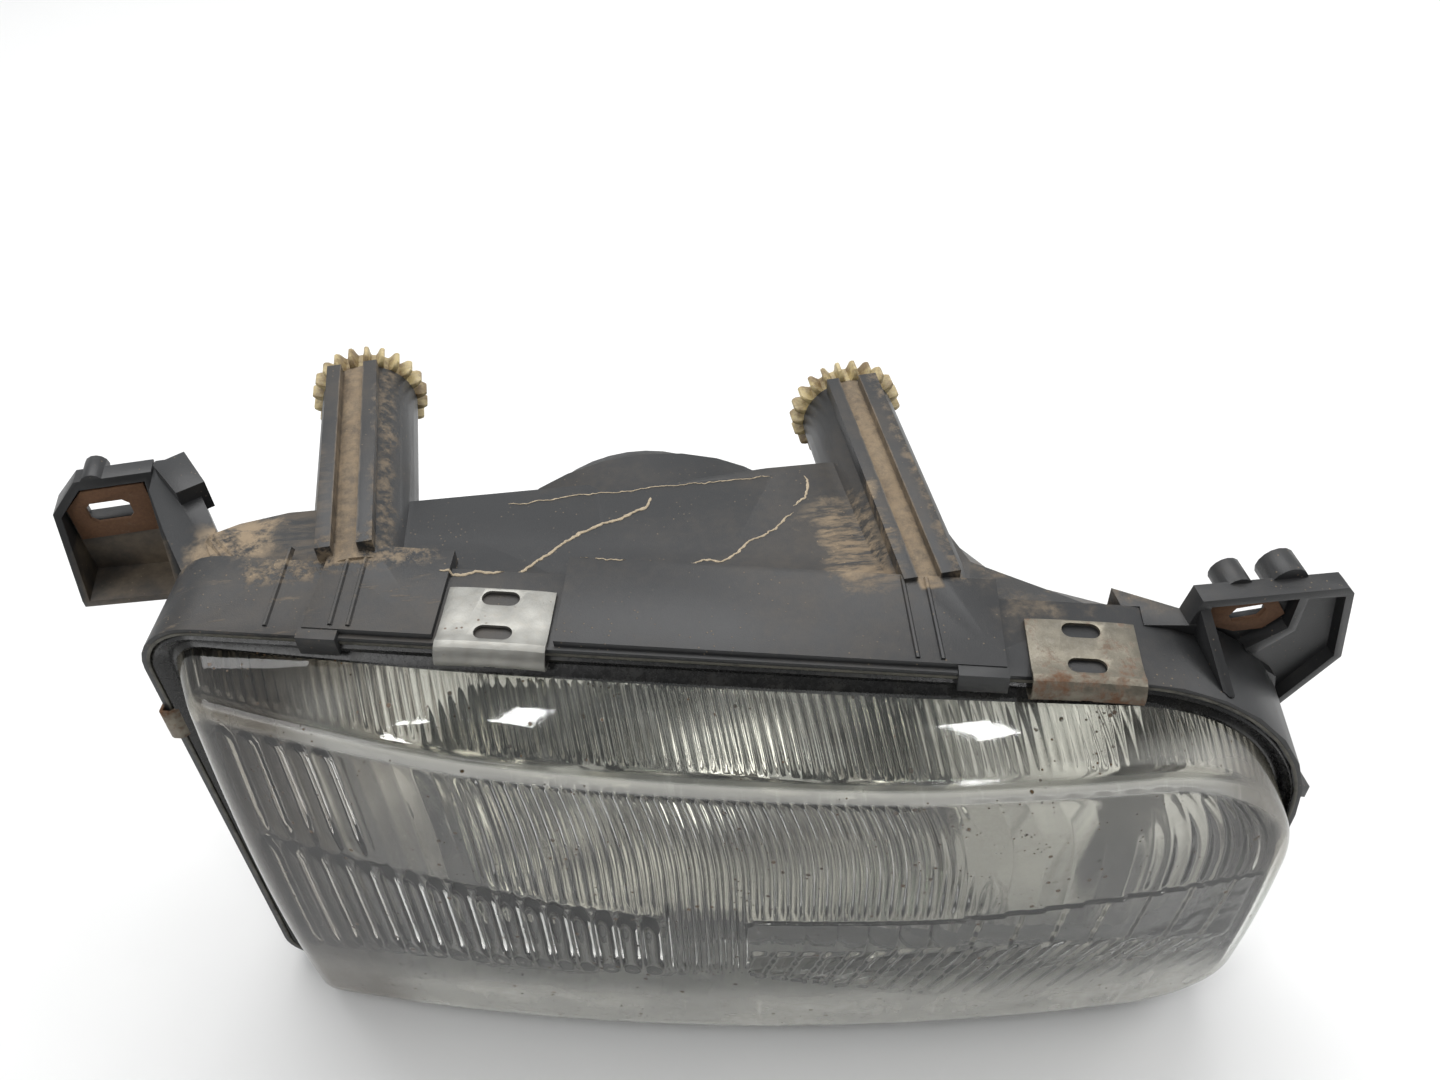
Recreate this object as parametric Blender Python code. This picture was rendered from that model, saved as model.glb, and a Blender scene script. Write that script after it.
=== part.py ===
"""Car headlight assembly: pressed glass lens, moulded housing with two mounting ears, spring clips,
swivelling reflector with its halogen bulb, two geared aiming adjusters, side light and rear dust cap.

Metres. +Z is up, +Y points back into the car along the light axis, +X is the inner end of the lamp.
The lamp stands on its lower rim. Dimensions are given in the lamp's own frame, and FRAME_SHIFT moves
that frame so that the origin is under the middle of the finished assembly."""

import math

import bmesh
import bpy
from mathutils import Matrix, Vector

# ---------------------------------------------------------------- driving dimensions
FRAME_SHIFT = Vector((-0.0003, 0.0153, -0.0006))

RIM_SWEEP = math.radians(13.26)  # the rim runs back towards the outer end
RIM_Y = -0.0724  # where the rim plane crosses x = 0
RIM_CORNERS = [  # along the rim, height, corner radius
    (-0.1795, 0.0020, 0.014),
    (0.1950, 0.0020, 0.038),
    (0.1935, 0.1880, 0.068),
    (-0.1735, 0.2100, 0.020),
]
FACE_CORNERS = [  # x, height, corner radius of the lens ridge
    (-0.1600, 0.0080, 0.006),
    (0.1855, 0.0080, 0.034),
    (0.1845, 0.1675, 0.056),
    (0.0590, 0.1712, 0.300),
    (-0.0750, 0.1820, 0.250),
    (-0.1550, 0.1970, 0.007),
]
FACE_RADIUS = 1.0128  # plan radius of the lens face
FACE_CENTRE = (0.2087, 0.8905)
FACE_BULGE = 0.0070  # how far the face bows forward between its lower and upper edges
FACE_MIDDLE_Z = 0.096
FACE_HALF_HEIGHT = 0.092
GLASS = 0.0038

SKIRT_DEPTH = 0.031
SKIRT_PADS = ((-0.1190, -0.0797), (-0.0430, 0.0920))  # from and to, along the rim
SKIRT_STEP = 0.003
WALL = 0.0025
LIP = 0.0026
GROOVE = 0.0110
INNER_WALL = 0.0120  # from the rim's outline to the inside of the groove wall

BOX_MIDDLE_CORNERS = [
    (-0.1570, 0.0040, 0.012),
    (0.1350, 0.0040, 0.026),
    (0.1140, 0.1860, 0.038),
    (-0.1520, 0.2060, 0.007),
]
BOX_MIDDLE_Y = -0.019
BOX_MIDDLE_SLOPE = -0.186
BOX_REAR_CORNERS = [
    (-0.1470, 0.0060, 0.012),
    (0.1000, 0.0060, 0.024),
    (0.0880, 0.1865, 0.016),
    (-0.1420, 0.2030, 0.005),
]
BOX_REAR_Y = 0.017

AXIS_X = -0.006
AXIS_Z = 0.096
DOME_RADIUS = 0.0753
DOME_REAR_Y = 0.060
CAP_COLLAR_RADIUS = 0.056
CAP_COLLAR_REAR_Y = 0.069
CAP_REAR_Y = 0.094

REFLECTOR_INSET = 0.0180
REFLECTOR_SETBACK = 0.0130
BOWL_RADIUS = 0.095
BOWL_FOCUS = 0.0265
BOWL_VERTEX_Y = 0.057
BOWL_TOP = 0.166
BOWL_BOTTOM = 0.024
BULB_HOLE_RADIUS = 0.0185
SHEET = 0.0018

TUBE_RADIUS = 0.0175
TUBE_BORE = 0.0150
NUT_BORE = 0.0072  # the narrow front end of the tube, which guides the nut
NUT_RADIUS = 0.0064
SOCKET_ROOM = {"left": 0.0092, "right": 0.0078}  # radius of the room in the tube's front for the ball socket
ADJUSTERS = {  # side: axis x, axis height, tube front y, tube rear y, ball y
    "left": (-0.1010, 0.1920, -0.0175, 0.0840, -0.0180),
    "right": (0.0780, 0.1785, -0.0570, 0.0520, -0.0600),
}
TUBE_RIBS = {  # across the top of each tube, from its axis
    "left": ((-0.0110, -0.0060), (0.0020, 0.0070)),
    "right": ((-0.0090, -0.0045), (0.0030, 0.0095)),
}
GEAR_TEETH = 22
GEAR_TIP = 0.0212
GEAR_ROOT = 0.0170
GEAR_WIDTH = 0.0085
BALL_RADIUS = 0.0036
BALL_ROOM = 0.0014  # round the ball inside its socket, for the reflector's sideways drift
SOCKET_DEPTH = 0.0085
PIVOT_Z = 0.030

CLIP_WIDTH = 0.0335
CLIP_SHEET = 0.0011
GAP = 0.0003

# ---------------------------------------------------------------- scene and materials
for old in list(bpy.data.objects):
    bpy.data.objects.remove(old)

frame = bpy.data.objects.new("lamp_frame", None)
frame.location = FRAME_SHIFT
bpy.context.scene.collection.objects.link(frame)

COLOURS = {  # colour, roughness, metallic
    "black plastic": ((0.030, 0.031, 0.033), 0.55, 0.0),
    "glass": ((0.70, 0.74, 0.70), 0.08, 0.0),
    "rubber": ((0.012, 0.012, 0.012), 0.80, 0.0),
    "zinc": ((0.52, 0.51, 0.48), 0.42, 1.0),
    "rusty steel": ((0.24, 0.12, 0.06), 0.75, 0.4),
    "nylon": ((0.62, 0.50, 0.24), 0.50, 0.0),
    "mirror": ((0.86, 0.86, 0.85), 0.08, 1.0),
    "brass": ((0.62, 0.46, 0.20), 0.35, 1.0),
    "grey plastic": ((0.20, 0.21, 0.22), 0.55, 0.0),
}


def material(kind):
    """The Principled material of this kind, made once."""
    found = bpy.data.materials.get(kind)
    if found:
        return found
    colour, roughness, metallic = COLOURS[kind]
    made = bpy.data.materials.new(kind)
    made.use_nodes = True
    shader = made.node_tree.nodes["Principled BSDF"]
    shader.inputs["Base Color"].default_value = (*colour, 1.0)
    shader.inputs["Roughness"].default_value = roughness
    shader.inputs["Metallic"].default_value = metallic
    return made


def add(name, shape, kind, pivot=(0.0, 0.0, 0.0)):
    """A named object from a bmesh, with its origin on pivot."""
    shape.transform(Matrix.Translation(-Vector(pivot)))
    mesh = bpy.data.meshes.new(name)
    shape.to_mesh(mesh)
    shape.free()
    mesh.shade_smooth()
    mesh.set_sharp_from_angle(angle=math.radians(35))
    mesh.materials.append(material(kind))
    made = bpy.data.objects.new(name, mesh)
    made.location = pivot
    made.parent = frame
    bpy.context.scene.collection.objects.link(made)
    return made


def combine(target, shape, operation):
    """Adds (UNION) or cuts (DIFFERENCE) a shape, kept as a hidden tool."""
    tool = add(f"tool_{len(bpy.data.objects)}", shape, "black plastic")
    tool.hide_render = True
    tool.display_type = "WIRE"
    step = target.modifiers.new(f"{operation.lower()}_{len(target.modifiers)}", "BOOLEAN")
    step.operation = operation
    step.solver = "EXACT"
    step.object = tool


# ---------------------------------------------------------------- shape helpers
def loft(rings, loop=False):
    """A closed skin through rings of equal length: capped at both ends, or joined end to start."""
    shape = bmesh.new()
    rows = [[shape.verts.new(point) for point in ring] for ring in rings]
    pairs = list(zip(rows, rows[1:]))
    if loop:
        pairs.append((rows[-1], rows[0]))
    for low, high in pairs:
        for i in range(len(low)):
            j = (i + 1) % len(low)
            shape.faces.new((low[i], low[j], high[j], high[i]))
    if not loop:
        shape.faces.new(rows[0][::-1])
        shape.faces.new(rows[-1])
    bmesh.ops.recalc_face_normals(shape, faces=shape.faces[:])
    if shape.calc_volume(signed=True) < 0:
        bmesh.ops.reverse_faces(shape, faces=shape.faces[:])
    return shape


def prism(outline, place, start, end):
    """A flat outline swept from start to end; place(a, b, t) gives each point."""
    return loft([[place(a, b, t) for a, b in outline] for t in (start, end)])


def block(low, high):
    """A box between two corners."""
    outline = [(low[0], low[1]), (high[0], low[1]), (high[0], high[1]), (low[0], high[1])]
    return prism(outline, lambda a, b, t: (a, b, t), low[2], high[2])


def along_y(outline, start, end):
    """An outline in x and z swept along y."""
    return prism(outline, lambda a, b, t: (a, t, b), start, end)


def turned(profile, centre, segments=32, loop=False):
    """A profile of (radius, y) turned about a line along y through centre (x, z)."""
    rings = []
    for radius, y in profile:
        turn = [2 * math.pi * i / segments for i in range(segments)]
        rings.append([(centre[0] + radius * math.cos(a), y, centre[1] + radius * math.sin(a)) for a in turn])
    return loft(rings, loop)


def corner_arc(corners, i):
    """Centre and radius of the arc that rounds one corner of a polygon."""
    corner = Vector(corners[i][:2])
    before = (Vector(corners[i - 1][:2]) - corner).normalized()
    after = (Vector(corners[(i + 1) % len(corners)][:2]) - corner).normalized()
    half = before.angle(after) / 2
    return corner + (before + after).normalized() * (corners[i][2] / math.sin(half)), corners[i][2]


def rounded_outline(corners, straight=0.022, arc=math.radians(13)):
    """Points along a polygon whose corners (a, b, radius) are rounded with arcs."""
    arcs = []
    for i, (a, b, _) in enumerate(corners):
        centre, radius = corner_arc(corners, i)
        corner = Vector((a, b))
        before = (Vector(corners[i - 1][:2]) - corner).normalized()
        after = (Vector(corners[(i + 1) % len(corners)][:2]) - corner).normalized()
        reach = radius / math.tan(before.angle(after) / 2)
        start = corner + before * reach - centre
        end = corner + after * reach - centre
        turn = start.angle_signed(end)
        steps = max(2, math.ceil(abs(turn) / arc))
        arcs.append([centre + Matrix.Rotation(-turn * k / steps, 2) @ start for k in range(steps + 1)])
    points = []
    for i, run in enumerate(arcs):
        points += run
        gap = arcs[(i + 1) % len(arcs)][0] - run[-1]
        steps = math.ceil(gap.length / straight)
        points += [run[-1] + gap * k / steps for k in range(1, steps)]
    return points


def inset(corners, distance):
    """The same corners with every edge moved inwards (outline given anticlockwise)."""
    edges = []
    for i, (a, b, _) in enumerate(corners):
        start = Vector((a, b))
        run = (Vector(corners[(i + 1) % len(corners)][:2]) - start).normalized()
        edges.append((start + Vector((-run.y, run.x)) * distance, run))
    moved = []
    for i, (_, _, radius) in enumerate(corners):
        (p, d), (q, e) = edges[i - 1], edges[i]
        t = (q - p).cross(e) / d.cross(e)
        point = p + d * t
        moved.append((point.x, point.y, max(radius - distance, 0.003)))
    return moved


def radius_at(outline, centre, angle):
    """How far the outline is from centre in one direction."""
    ray = Vector((math.cos(angle), math.sin(angle)))
    best = None
    for start, end in zip(outline, outline[1:] + outline[:1]):
        run = end - start
        side = ray.cross(run)
        if abs(side) < 1e-12:
            continue
        t = (start - centre).cross(run) / side
        s = (start - centre).cross(ray) / side
        if t > 0 and -1e-4 <= s <= 1 + 1e-4:
            best = t if best is None else max(best, t)
    return best


def rim_place(u, z, depth):
    """A point given along the rim, up, and back from the rim plane."""
    x = u * math.cos(RIM_SWEEP) + depth * math.sin(RIM_SWEEP)
    return Vector((x, RIM_Y - u * math.sin(RIM_SWEEP) + depth * math.cos(RIM_SWEEP), z))


def face_y(x, z):
    """The lens face's front surface, curved in plan and bowed forward at its middle height."""
    bow = FACE_BULGE * (1 - ((z - FACE_MIDDLE_Z) / FACE_HALF_HEIGHT) ** 2)
    return FACE_CENTRE[1] - math.sqrt(FACE_RADIUS**2 - (x - FACE_CENTRE[0]) ** 2) - bow


CENTRE = Vector((AXIS_X, AXIS_Z))
ANGLES = sorted(math.atan2(p.y - AXIS_Z, p.x - AXIS_X) for p in rounded_outline(RIM_CORNERS))


def flat_ring(corners):
    """One (a, z) point for each of the shared directions, so that rings match point for point."""
    outline = rounded_outline(corners)
    return [
        (
            AXIS_X + radius_at(outline, CENTRE, angle) * math.cos(angle),
            AXIS_Z + radius_at(outline, CENTRE, angle) * math.sin(angle),
        )
        for angle in ANGLES
    ]


def rim_ring(distance, depth):
    return [rim_place(a, z, depth) for a, z in flat_ring(inset(RIM_CORNERS, distance))]


def box_ring(corners, distance, y, slope=0.0):
    return [(a, y + slope * a, z) for a, z in flat_ring(inset(corners, distance))]


def circle_ring(radius, y):
    return [(AXIS_X + radius * math.cos(a), y, AXIS_Z + radius * math.sin(a)) for a in ANGLES]


def face_ring(distance, behind, scale=1.0):
    """The lens outline, inset and shrunk towards the middle, at a depth behind the front surface."""
    ring = flat_ring(inset(FACE_CORNERS, distance))
    points = [(AXIS_X + (a - AXIS_X) * scale, AXIS_Z + (z - AXIS_Z) * scale) for a, z in ring]
    return [(x, face_y(x, z) + behind, z) for x, z in points]


# ---------------------------------------------------------------- housing
def housing():
    """Rim groove, skirt band, stepped box, round back and the collar for the dust cap, in one shell."""
    outer = [
        rim_ring(0.0, 0.0),
        rim_ring(0.0, SKIRT_DEPTH),
        rim_ring(SKIRT_STEP, SKIRT_DEPTH),
        box_ring(BOX_MIDDLE_CORNERS, 0.0, BOX_MIDDLE_Y, BOX_MIDDLE_SLOPE),
        box_ring(BOX_REAR_CORNERS, 0.0, BOX_REAR_Y),
        circle_ring(DOME_RADIUS, BOX_REAR_Y),
        circle_ring(DOME_RADIUS, DOME_REAR_Y - 0.004),
        circle_ring(DOME_RADIUS - 0.004, DOME_REAR_Y),
        circle_ring(CAP_COLLAR_RADIUS, DOME_REAR_Y),
        circle_ring(CAP_COLLAR_RADIUS, CAP_COLLAR_REAR_Y),
    ]
    inner = [
        circle_ring(CAP_COLLAR_RADIUS - WALL, CAP_COLLAR_REAR_Y),
        circle_ring(CAP_COLLAR_RADIUS - WALL, DOME_REAR_Y - WALL),
        circle_ring(DOME_RADIUS - WALL, DOME_REAR_Y - WALL - 0.003),
        circle_ring(DOME_RADIUS - WALL, BOX_REAR_Y - WALL),
        box_ring(BOX_REAR_CORNERS, WALL, BOX_REAR_Y - WALL),
        box_ring(BOX_MIDDLE_CORNERS, WALL, BOX_MIDDLE_Y, BOX_MIDDLE_SLOPE),
        rim_ring(SKIRT_STEP + WALL, SKIRT_DEPTH - WALL),
        rim_ring(WALL, SKIRT_DEPTH - WALL),
        rim_ring(WALL, GROOVE + WALL),
        rim_ring(INNER_WALL, GROOVE + WALL),
        rim_ring(INNER_WALL, GROOVE - 0.0015),
        rim_ring(INNER_WALL - 0.002, GROOVE - 0.0015),
        rim_ring(INNER_WALL - 0.002, GROOVE),
        rim_ring(LIP, GROOVE),
        rim_ring(LIP, 0.0),
    ]
    shell = add("housing_shell", loft(outer + inner, loop=True), "black plastic")
    for side in ADJUSTERS:
        adjuster_tube(shell, side)
    skirt_pads(shell)
    rim_tabs(shell)
    left_arm(shell)
    right_hook(shell)
    back_details(shell)
    return shell


def adjuster_tube(shell, side):
    """A round tube with two ribs on top that guide a screwdriver to the gear, bored from the rear."""
    x, z, front, rear, _ = ADJUSTERS[side]
    combine(shell, turned([(TUBE_RADIUS, front), (TUBE_RADIUS, rear)], (x, z), 28), "UNION")
    top = z + TUBE_RADIUS
    for low, high in TUBE_RIBS[side]:
        rib = block((x + low, front + 0.003, z + 0.004), (x + high, rear - 0.002, top + 0.0035))
        combine(shell, rib, "UNION")
    guide = front + 0.0065
    room = SOCKET_ROOM[side]
    bore = [(room, front - 0.012), (room, guide), (NUT_BORE, guide), (NUT_BORE, guide + 0.0105)]
    bore += [(TUBE_BORE, guide + 0.0105), (TUBE_BORE, rear + 0.010)]
    bore = turned(bore, (x, z), 28)
    combine(shell, bore, "DIFFERENCE")


RIM_TOP_SLOPE = (RIM_CORNERS[2][1] - RIM_CORNERS[3][1]) / (RIM_CORNERS[2][0] - RIM_CORNERS[3][0])


def rim_top(u):
    """The height of the rim's upper edge."""
    return RIM_CORNERS[3][1] + RIM_TOP_SLOPE * (u - RIM_CORNERS[3][0])


def skirt_pads(shell):
    """Two raised plates on top of the skirt, on either side of the first clip."""
    profile = [(0.0016, -0.0015), (0.0016, 0.0022), (0.0370, 0.0022), (0.0370, -0.0046), (0.0300, -0.0046)]
    profile.append((0.0300, -0.0015))
    for start, end in SKIRT_PADS:
        ends = [[rim_place(u, rim_top(u) + h, d) for d, h in profile] for u in (start, end)]
        combine(shell, loft(ends), "UNION")


def rim_tabs(shell):
    """Two moulded fingers that hook over the lip beside the clips."""
    for u, width in ((-0.1140, 0.0120), (0.0850, 0.0150)):
        slope = RIM_TOP_SLOPE
        top = rim_top(u)
        profile = [(0.0110, -0.0015), (0.0100, 0.0018), (-0.0024, 0.0018)]
        profile += [(-0.0024, -0.0055), (0.0008, -0.0055), (0.0008, -0.0015)]
        tab = prism(profile, lambda d, h, t: rim_place(u + t, top + h + slope * t, d), -width / 2, width / 2)
        combine(shell, tab, "UNION")


LEFT_EAR_FRONT = 0.033
LEFT_EAR_REAR = 0.056
LEFT_EAR = [(-0.2110, 0.1570), (-0.1745, 0.1540), (-0.1745, 0.2020), (-0.2010, 0.2020), (-0.2110, 0.1920)]
ARM_LOW = 0.1600
ARM_HIGH = 0.2010
RIGHT_EAR_FRONT = -0.0835
RIGHT_EAR_REAR = -0.0765
RIGHT_EAR = [(0.1940, 0.1370), (0.2115, 0.1610), (0.2055, 0.1930), (0.2030, 0.1960), (0.1540, 0.2010)]


def left_arm(shell):
    """The arm that carries the left ear, with a boss on top."""
    arm = [(LEFT_EAR[1][0] + GAP, 0.0400), (-0.1665, 0.0180), (-0.1560, -0.0080), (-0.1500, -0.0080)]
    arm += [(-0.1490, 0.0150), (-0.1640, 0.0560), (LEFT_EAR[1][0] + GAP, 0.0560)]
    combine(shell, prism(arm, lambda a, b, t: (a, b, t), ARM_LOW, ARM_HIGH), "UNION")
    boss = [(-0.1720, 0.0470), (-0.1620, 0.0300), (-0.1530, 0.0340), (-0.1620, 0.0520)]
    combine(shell, prism(boss, lambda a, b, t: (a, b, t), 0.195, 0.2065), "UNION")


def left_ear():
    """A scoop at the end of the arm: slanting sides, a floor, and a slot through its rear wall."""
    ear = add("mounting_ear_left", along_y(LEFT_EAR, LEFT_EAR_FRONT, LEFT_EAR_REAR), "black plastic")
    combine(ear, turned([(0.0042, 0.042), (0.0042, 0.060)], (-0.1950, 0.2000), 14), "UNION")
    pocket = [(-0.2085, 0.1595), (-0.1775, 0.1570), (-0.1775, 0.1990), (-0.2000, 0.1990), (-0.2085, 0.1905)]
    combine(ear, along_y(pocket, LEFT_EAR_FRONT - 0.012, LEFT_EAR_REAR - 0.006), "DIFFERENCE")
    slot = [(-0.2030, 0.1830), (-0.1850, 0.1830), (-0.1850, 0.1930), (-0.2030, 0.1930)]
    combine(ear, along_y(slot, LEFT_EAR_REAR - 0.010, LEFT_EAR_REAR + 0.006), "DIFFERENCE")
    front = [(LEFT_EAR_FRONT - 0.010, 0.1600), (LEFT_EAR_FRONT, 0.1600), (LEFT_EAR_REAR - 0.0070, 0.2020)]
    front += [(LEFT_EAR_REAR - 0.0070, 0.2100), (LEFT_EAR_FRONT - 0.010, 0.2100)]
    combine(ear, prism(front, lambda y, z, x: (x, y, z), -0.2150, -0.1700), "DIFFERENCE")


def right_ear():
    """A shallow ribbed tray on the skirt's corner, with a gusset, a web and two bosses behind it."""
    centre, radius = corner_arc(RIM_CORNERS, 2)
    root = []
    for k in range(7):
        turn = math.radians(72 - 8 * k)
        bend = radius - 0.0080
        root.append((0.0046 + centre.x + bend * math.cos(turn), centre.y + bend * math.sin(turn)))
    tray = along_y(root + RIGHT_EAR, RIGHT_EAR_FRONT, RIGHT_EAR_REAR)
    ear = add("mounting_ear_right", tray, "black plastic")
    for x, z, radius in ((0.1690, 0.1960, 0.0052), (0.1860, 0.1955, 0.0064)):
        combine(ear, turned([(radius, RIGHT_EAR_REAR - 0.001), (radius, -0.0680)], (x, z), 16), "UNION")
    upper = [(0.1575, 0.1820), (0.1720, 0.1725), (0.1870, 0.1810), (0.1870, 0.1945), (0.1575, 0.1975)]
    lower = [(0.1765, 0.1690), (0.1900, 0.1560), (0.1935, 0.1410), (0.2085, 0.1620), (0.2030, 0.1920)]
    lower += [(0.1900, 0.1940), (0.1900, 0.1790)]
    for pocket in (upper, lower):
        combine(ear, along_y(pocket, RIGHT_EAR_FRONT - 0.010, RIGHT_EAR_REAR - 0.0025), "DIFFERENCE")
    slot = [(0.1655, 0.1845), (0.1805, 0.1845), (0.1805, 0.1925), (0.1655, 0.1925)]
    combine(ear, along_y(slot, RIGHT_EAR_REAR - 0.006, RIGHT_EAR_REAR + 0.006), "DIFFERENCE")
    gusset = [(-0.0780, 0.2000), (-0.0780, 0.1700), (-0.1070, 0.1700), (-0.1070, 0.1835)]
    combine(ear, prism(gusset, lambda y, z, x: (x, y, z), 0.1540, 0.1572), "UNION")
    web = [(0.1345, -0.0800), (0.1550, -0.0845), (0.1550, -0.0790), (0.1345, -0.0640)]
    combine(ear, prism(web, lambda a, b, t: (a, b, t), 0.1800, 0.1910), "UNION")
    skirt = [
        rim_ring(-GAP, -0.004),
        rim_ring(-GAP, SKIRT_DEPTH + GAP),
        rim_ring(SKIRT_STEP - GAP, SKIRT_DEPTH + GAP),
        box_ring(BOX_MIDDLE_CORNERS, -GAP, BOX_MIDDLE_Y, BOX_MIDDLE_SLOPE),
    ]
    combine(ear, loft(skirt), "DIFFERENCE")


def right_hook(shell):
    """A small hook on the inner end of the skirt."""
    hook = [(0.1882, 0.1300), (0.1930, 0.1280), (0.1930, 0.1340), (0.1882, 0.1370)]
    combine(shell, along_y(hook, -0.1130, -0.1040), "UNION")


FEET = ((-0.1050, -0.0750), (0.0450, 0.0750))  # from x to x


def back_details(shell):
    """Feet under the back of the box, a step above, and seats for the connector and the breather."""
    for low, high in FEET:
        foot = block((low, BOX_REAR_Y - 0.0230, 0.0006), (high, BOX_REAR_Y - 0.0030, 0.0078))
        combine(shell, foot, "UNION")
    step = block((-0.082, BOX_REAR_Y - 0.004, 0.190), (0.062, BOX_REAR_Y + 0.0015, 0.1945))
    combine(shell, step, "DIFFERENCE")
    seat = block((-0.1270, BOX_REAR_Y - 0.004, 0.042), (-0.0970, BOX_REAR_Y + 0.003, 0.068))
    combine(shell, seat, "UNION")
    hole = block((-0.1230, BOX_REAR_Y - 0.010, 0.046), (-0.1010, BOX_REAR_Y + 0.010, 0.064))
    combine(shell, hole, "DIFFERENCE")
    vent = turned([(0.0045, BOX_REAR_Y - 0.010), (0.0045, BOX_REAR_Y + 0.010)], (-0.112, 0.120), 16)
    combine(shell, vent, "DIFFERENCE")


# ---------------------------------------------------------------- lens and its seal
def lens():
    """A dished glass: flange in the groove, drafted walls, rounded ridge and a curved face."""
    outer = [
        rim_ring(LIP + 0.0008, GROOVE - 0.0022),
        rim_ring(LIP + 0.0008, GROOVE - 0.0062),
        rim_ring(LIP + 0.0058, GROOVE - 0.0066),
        face_ring(0.0, 0.0034),
        face_ring(0.0012, 0.0010),
        face_ring(0.0036, 0.0),
        face_ring(0.0036, 0.0, 0.72),
        face_ring(0.0036, 0.0, 0.42),
        face_ring(0.0036, 0.0, 0.12),
    ]
    inner = [
        face_ring(0.0036, GLASS, 0.12),
        face_ring(0.0036, GLASS, 0.42),
        face_ring(0.0036, GLASS, 0.72),
        face_ring(0.0050, GLASS),
        rim_ring(LIP + 0.0066, GROOVE - 0.0022),
    ]
    add("lens_glass", loft(outer[::-1] + inner[::-1]), "glass")
    ring = [
        rim_ring(LIP + 0.0004, GROOVE - 0.0003),
        rim_ring(LIP + 0.0004, GROOVE - 0.0019),
        rim_ring(INNER_WALL - 0.0023, GROOVE - 0.0019),
        rim_ring(INNER_WALL - 0.0023, GROOVE - 0.0003),
    ]
    add("lens_gasket", loft(ring, loop=True), "rubber")


# ---------------------------------------------------------------- clips and ear inserts
def edge_place(edge, along):
    """A point on one straight edge of the rim, its direction, and the outward direction."""
    start = Vector(RIM_CORNERS[edge][:2])
    run = (Vector(RIM_CORNERS[(edge + 1) % 4][:2]) - start).normalized()
    return start + run * along, run, Vector((run.y, -run.x))


def spring_clip(name, edge, along, kind, slots=True, width=CLIP_WIDTH):
    """Bent sheet over the lip: a plate along the skirt, a fold over the lip and a hook onto the flange."""
    point, run, out = edge_place(edge, along)
    low = GAP
    high = GAP + CLIP_SHEET
    front = -0.0012
    hook = GROOVE - 0.0066 - 2 * GAP
    reach = -(LIP + 0.0050)
    profile = [
        (0.0245, low),
        (0.0245, high),
        (front - 0.5 * CLIP_SHEET, high),
        (front - CLIP_SHEET, low),
        (front - CLIP_SHEET, -0.0020),
        (front - 0.5 * CLIP_SHEET, -0.0031),
        (hook - CLIP_SHEET, reach),
        (hook, reach + 0.0008),
        (front, -0.0022),
        (front, low),
    ]

    def place(depth, height, t):
        spot = point + run * t + out * height
        return rim_place(spot.x, spot.y, depth)

    clip = add(name, prism(profile, place, -width / 2, width / 2), kind)
    if slots:
        for depth in (0.0060, 0.0180):
            round_slot = []
            for side in (1, -1):
                for k in range(7):
                    turn = math.pi * (k / 6 - 0.5)
                    along_slot = 0.0030 + 0.0029 * math.cos(turn)
                    round_slot.append((side * along_slot, side * 0.0029 * math.sin(turn)))
            cutter = prism(
                round_slot, lambda a, b, t, depth=depth: place(depth + b, t, a), low - 0.002, high + 0.002
            )
            combine(clip, cutter, "DIFFERENCE")
        notch = prism(
            [(-0.0022, -0.0030), (0.0022, -0.0030), (0.0014, 0.0004), (-0.0014, 0.0004)],
            lambda a, b, t: place(b, t, a),
            low - 0.0015,
            high + 0.002,
        )
        combine(clip, notch, "DIFFERENCE")


def clips():
    top = (Vector(RIM_CORNERS[2][:2]) - Vector(RIM_CORNERS[3][:2])).length
    spring_clip("spring_clip_top_left", 2, top - (0.1735 - 0.0616), "zinc")
    spring_clip("spring_clip_top_right", 2, top - (0.1735 + 0.1165), "rusty steel")
    spring_clip("spring_clip_bottom_left", 0, 0.120, "rusty steel", slots=False)
    spring_clip("spring_clip_bottom_right", 0, 0.290, "rusty steel", slots=False)
    spring_clip("spring_clip_side", 3, 0.047, "rusty steel", slots=False, width=0.0140)


def slotted_plate(name, outline, slot, start, end):
    plate = add(name, along_y(outline, start, end), "rusty steel")
    combine(plate, along_y(slot, start - 0.004, end + 0.004), "DIFFERENCE")


def ear_inserts():
    rear = LEFT_EAR_REAR - 0.006 - GAP
    outline = [(-0.2075, 0.1760), (-0.1785, 0.1760), (-0.1785, 0.1980), (-0.2000, 0.1980), (-0.2075, 0.1905)]
    slot = [(-0.2010, 0.1850), (-0.1990, 0.1830), (-0.1880, 0.1830), (-0.1860, 0.1850), (-0.1860, 0.1900)]
    slot += [(-0.1880, 0.1920), (-0.1990, 0.1920), (-0.2010, 0.1900)]
    slotted_plate("ear_insert_left", outline, slot, rear - 0.0015, rear)
    rear = RIGHT_EAR_REAR - 0.0025 - GAP
    outline = [(0.1585, 0.1866), (0.1702, 0.1804), (0.1800, 0.1795), (0.1862, 0.1850), (0.1810, 0.1935)]
    outline += [(0.1680, 0.1955), (0.1585, 0.1945)]
    slot = [(0.1665, 0.1885), (0.1685, 0.1855), (0.1770, 0.1855)]
    slot += [(0.1790, 0.1885), (0.1770, 0.1915), (0.1685, 0.1915)]
    slotted_plate("ear_insert_right", outline, slot, rear - 0.0015, rear)


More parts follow.
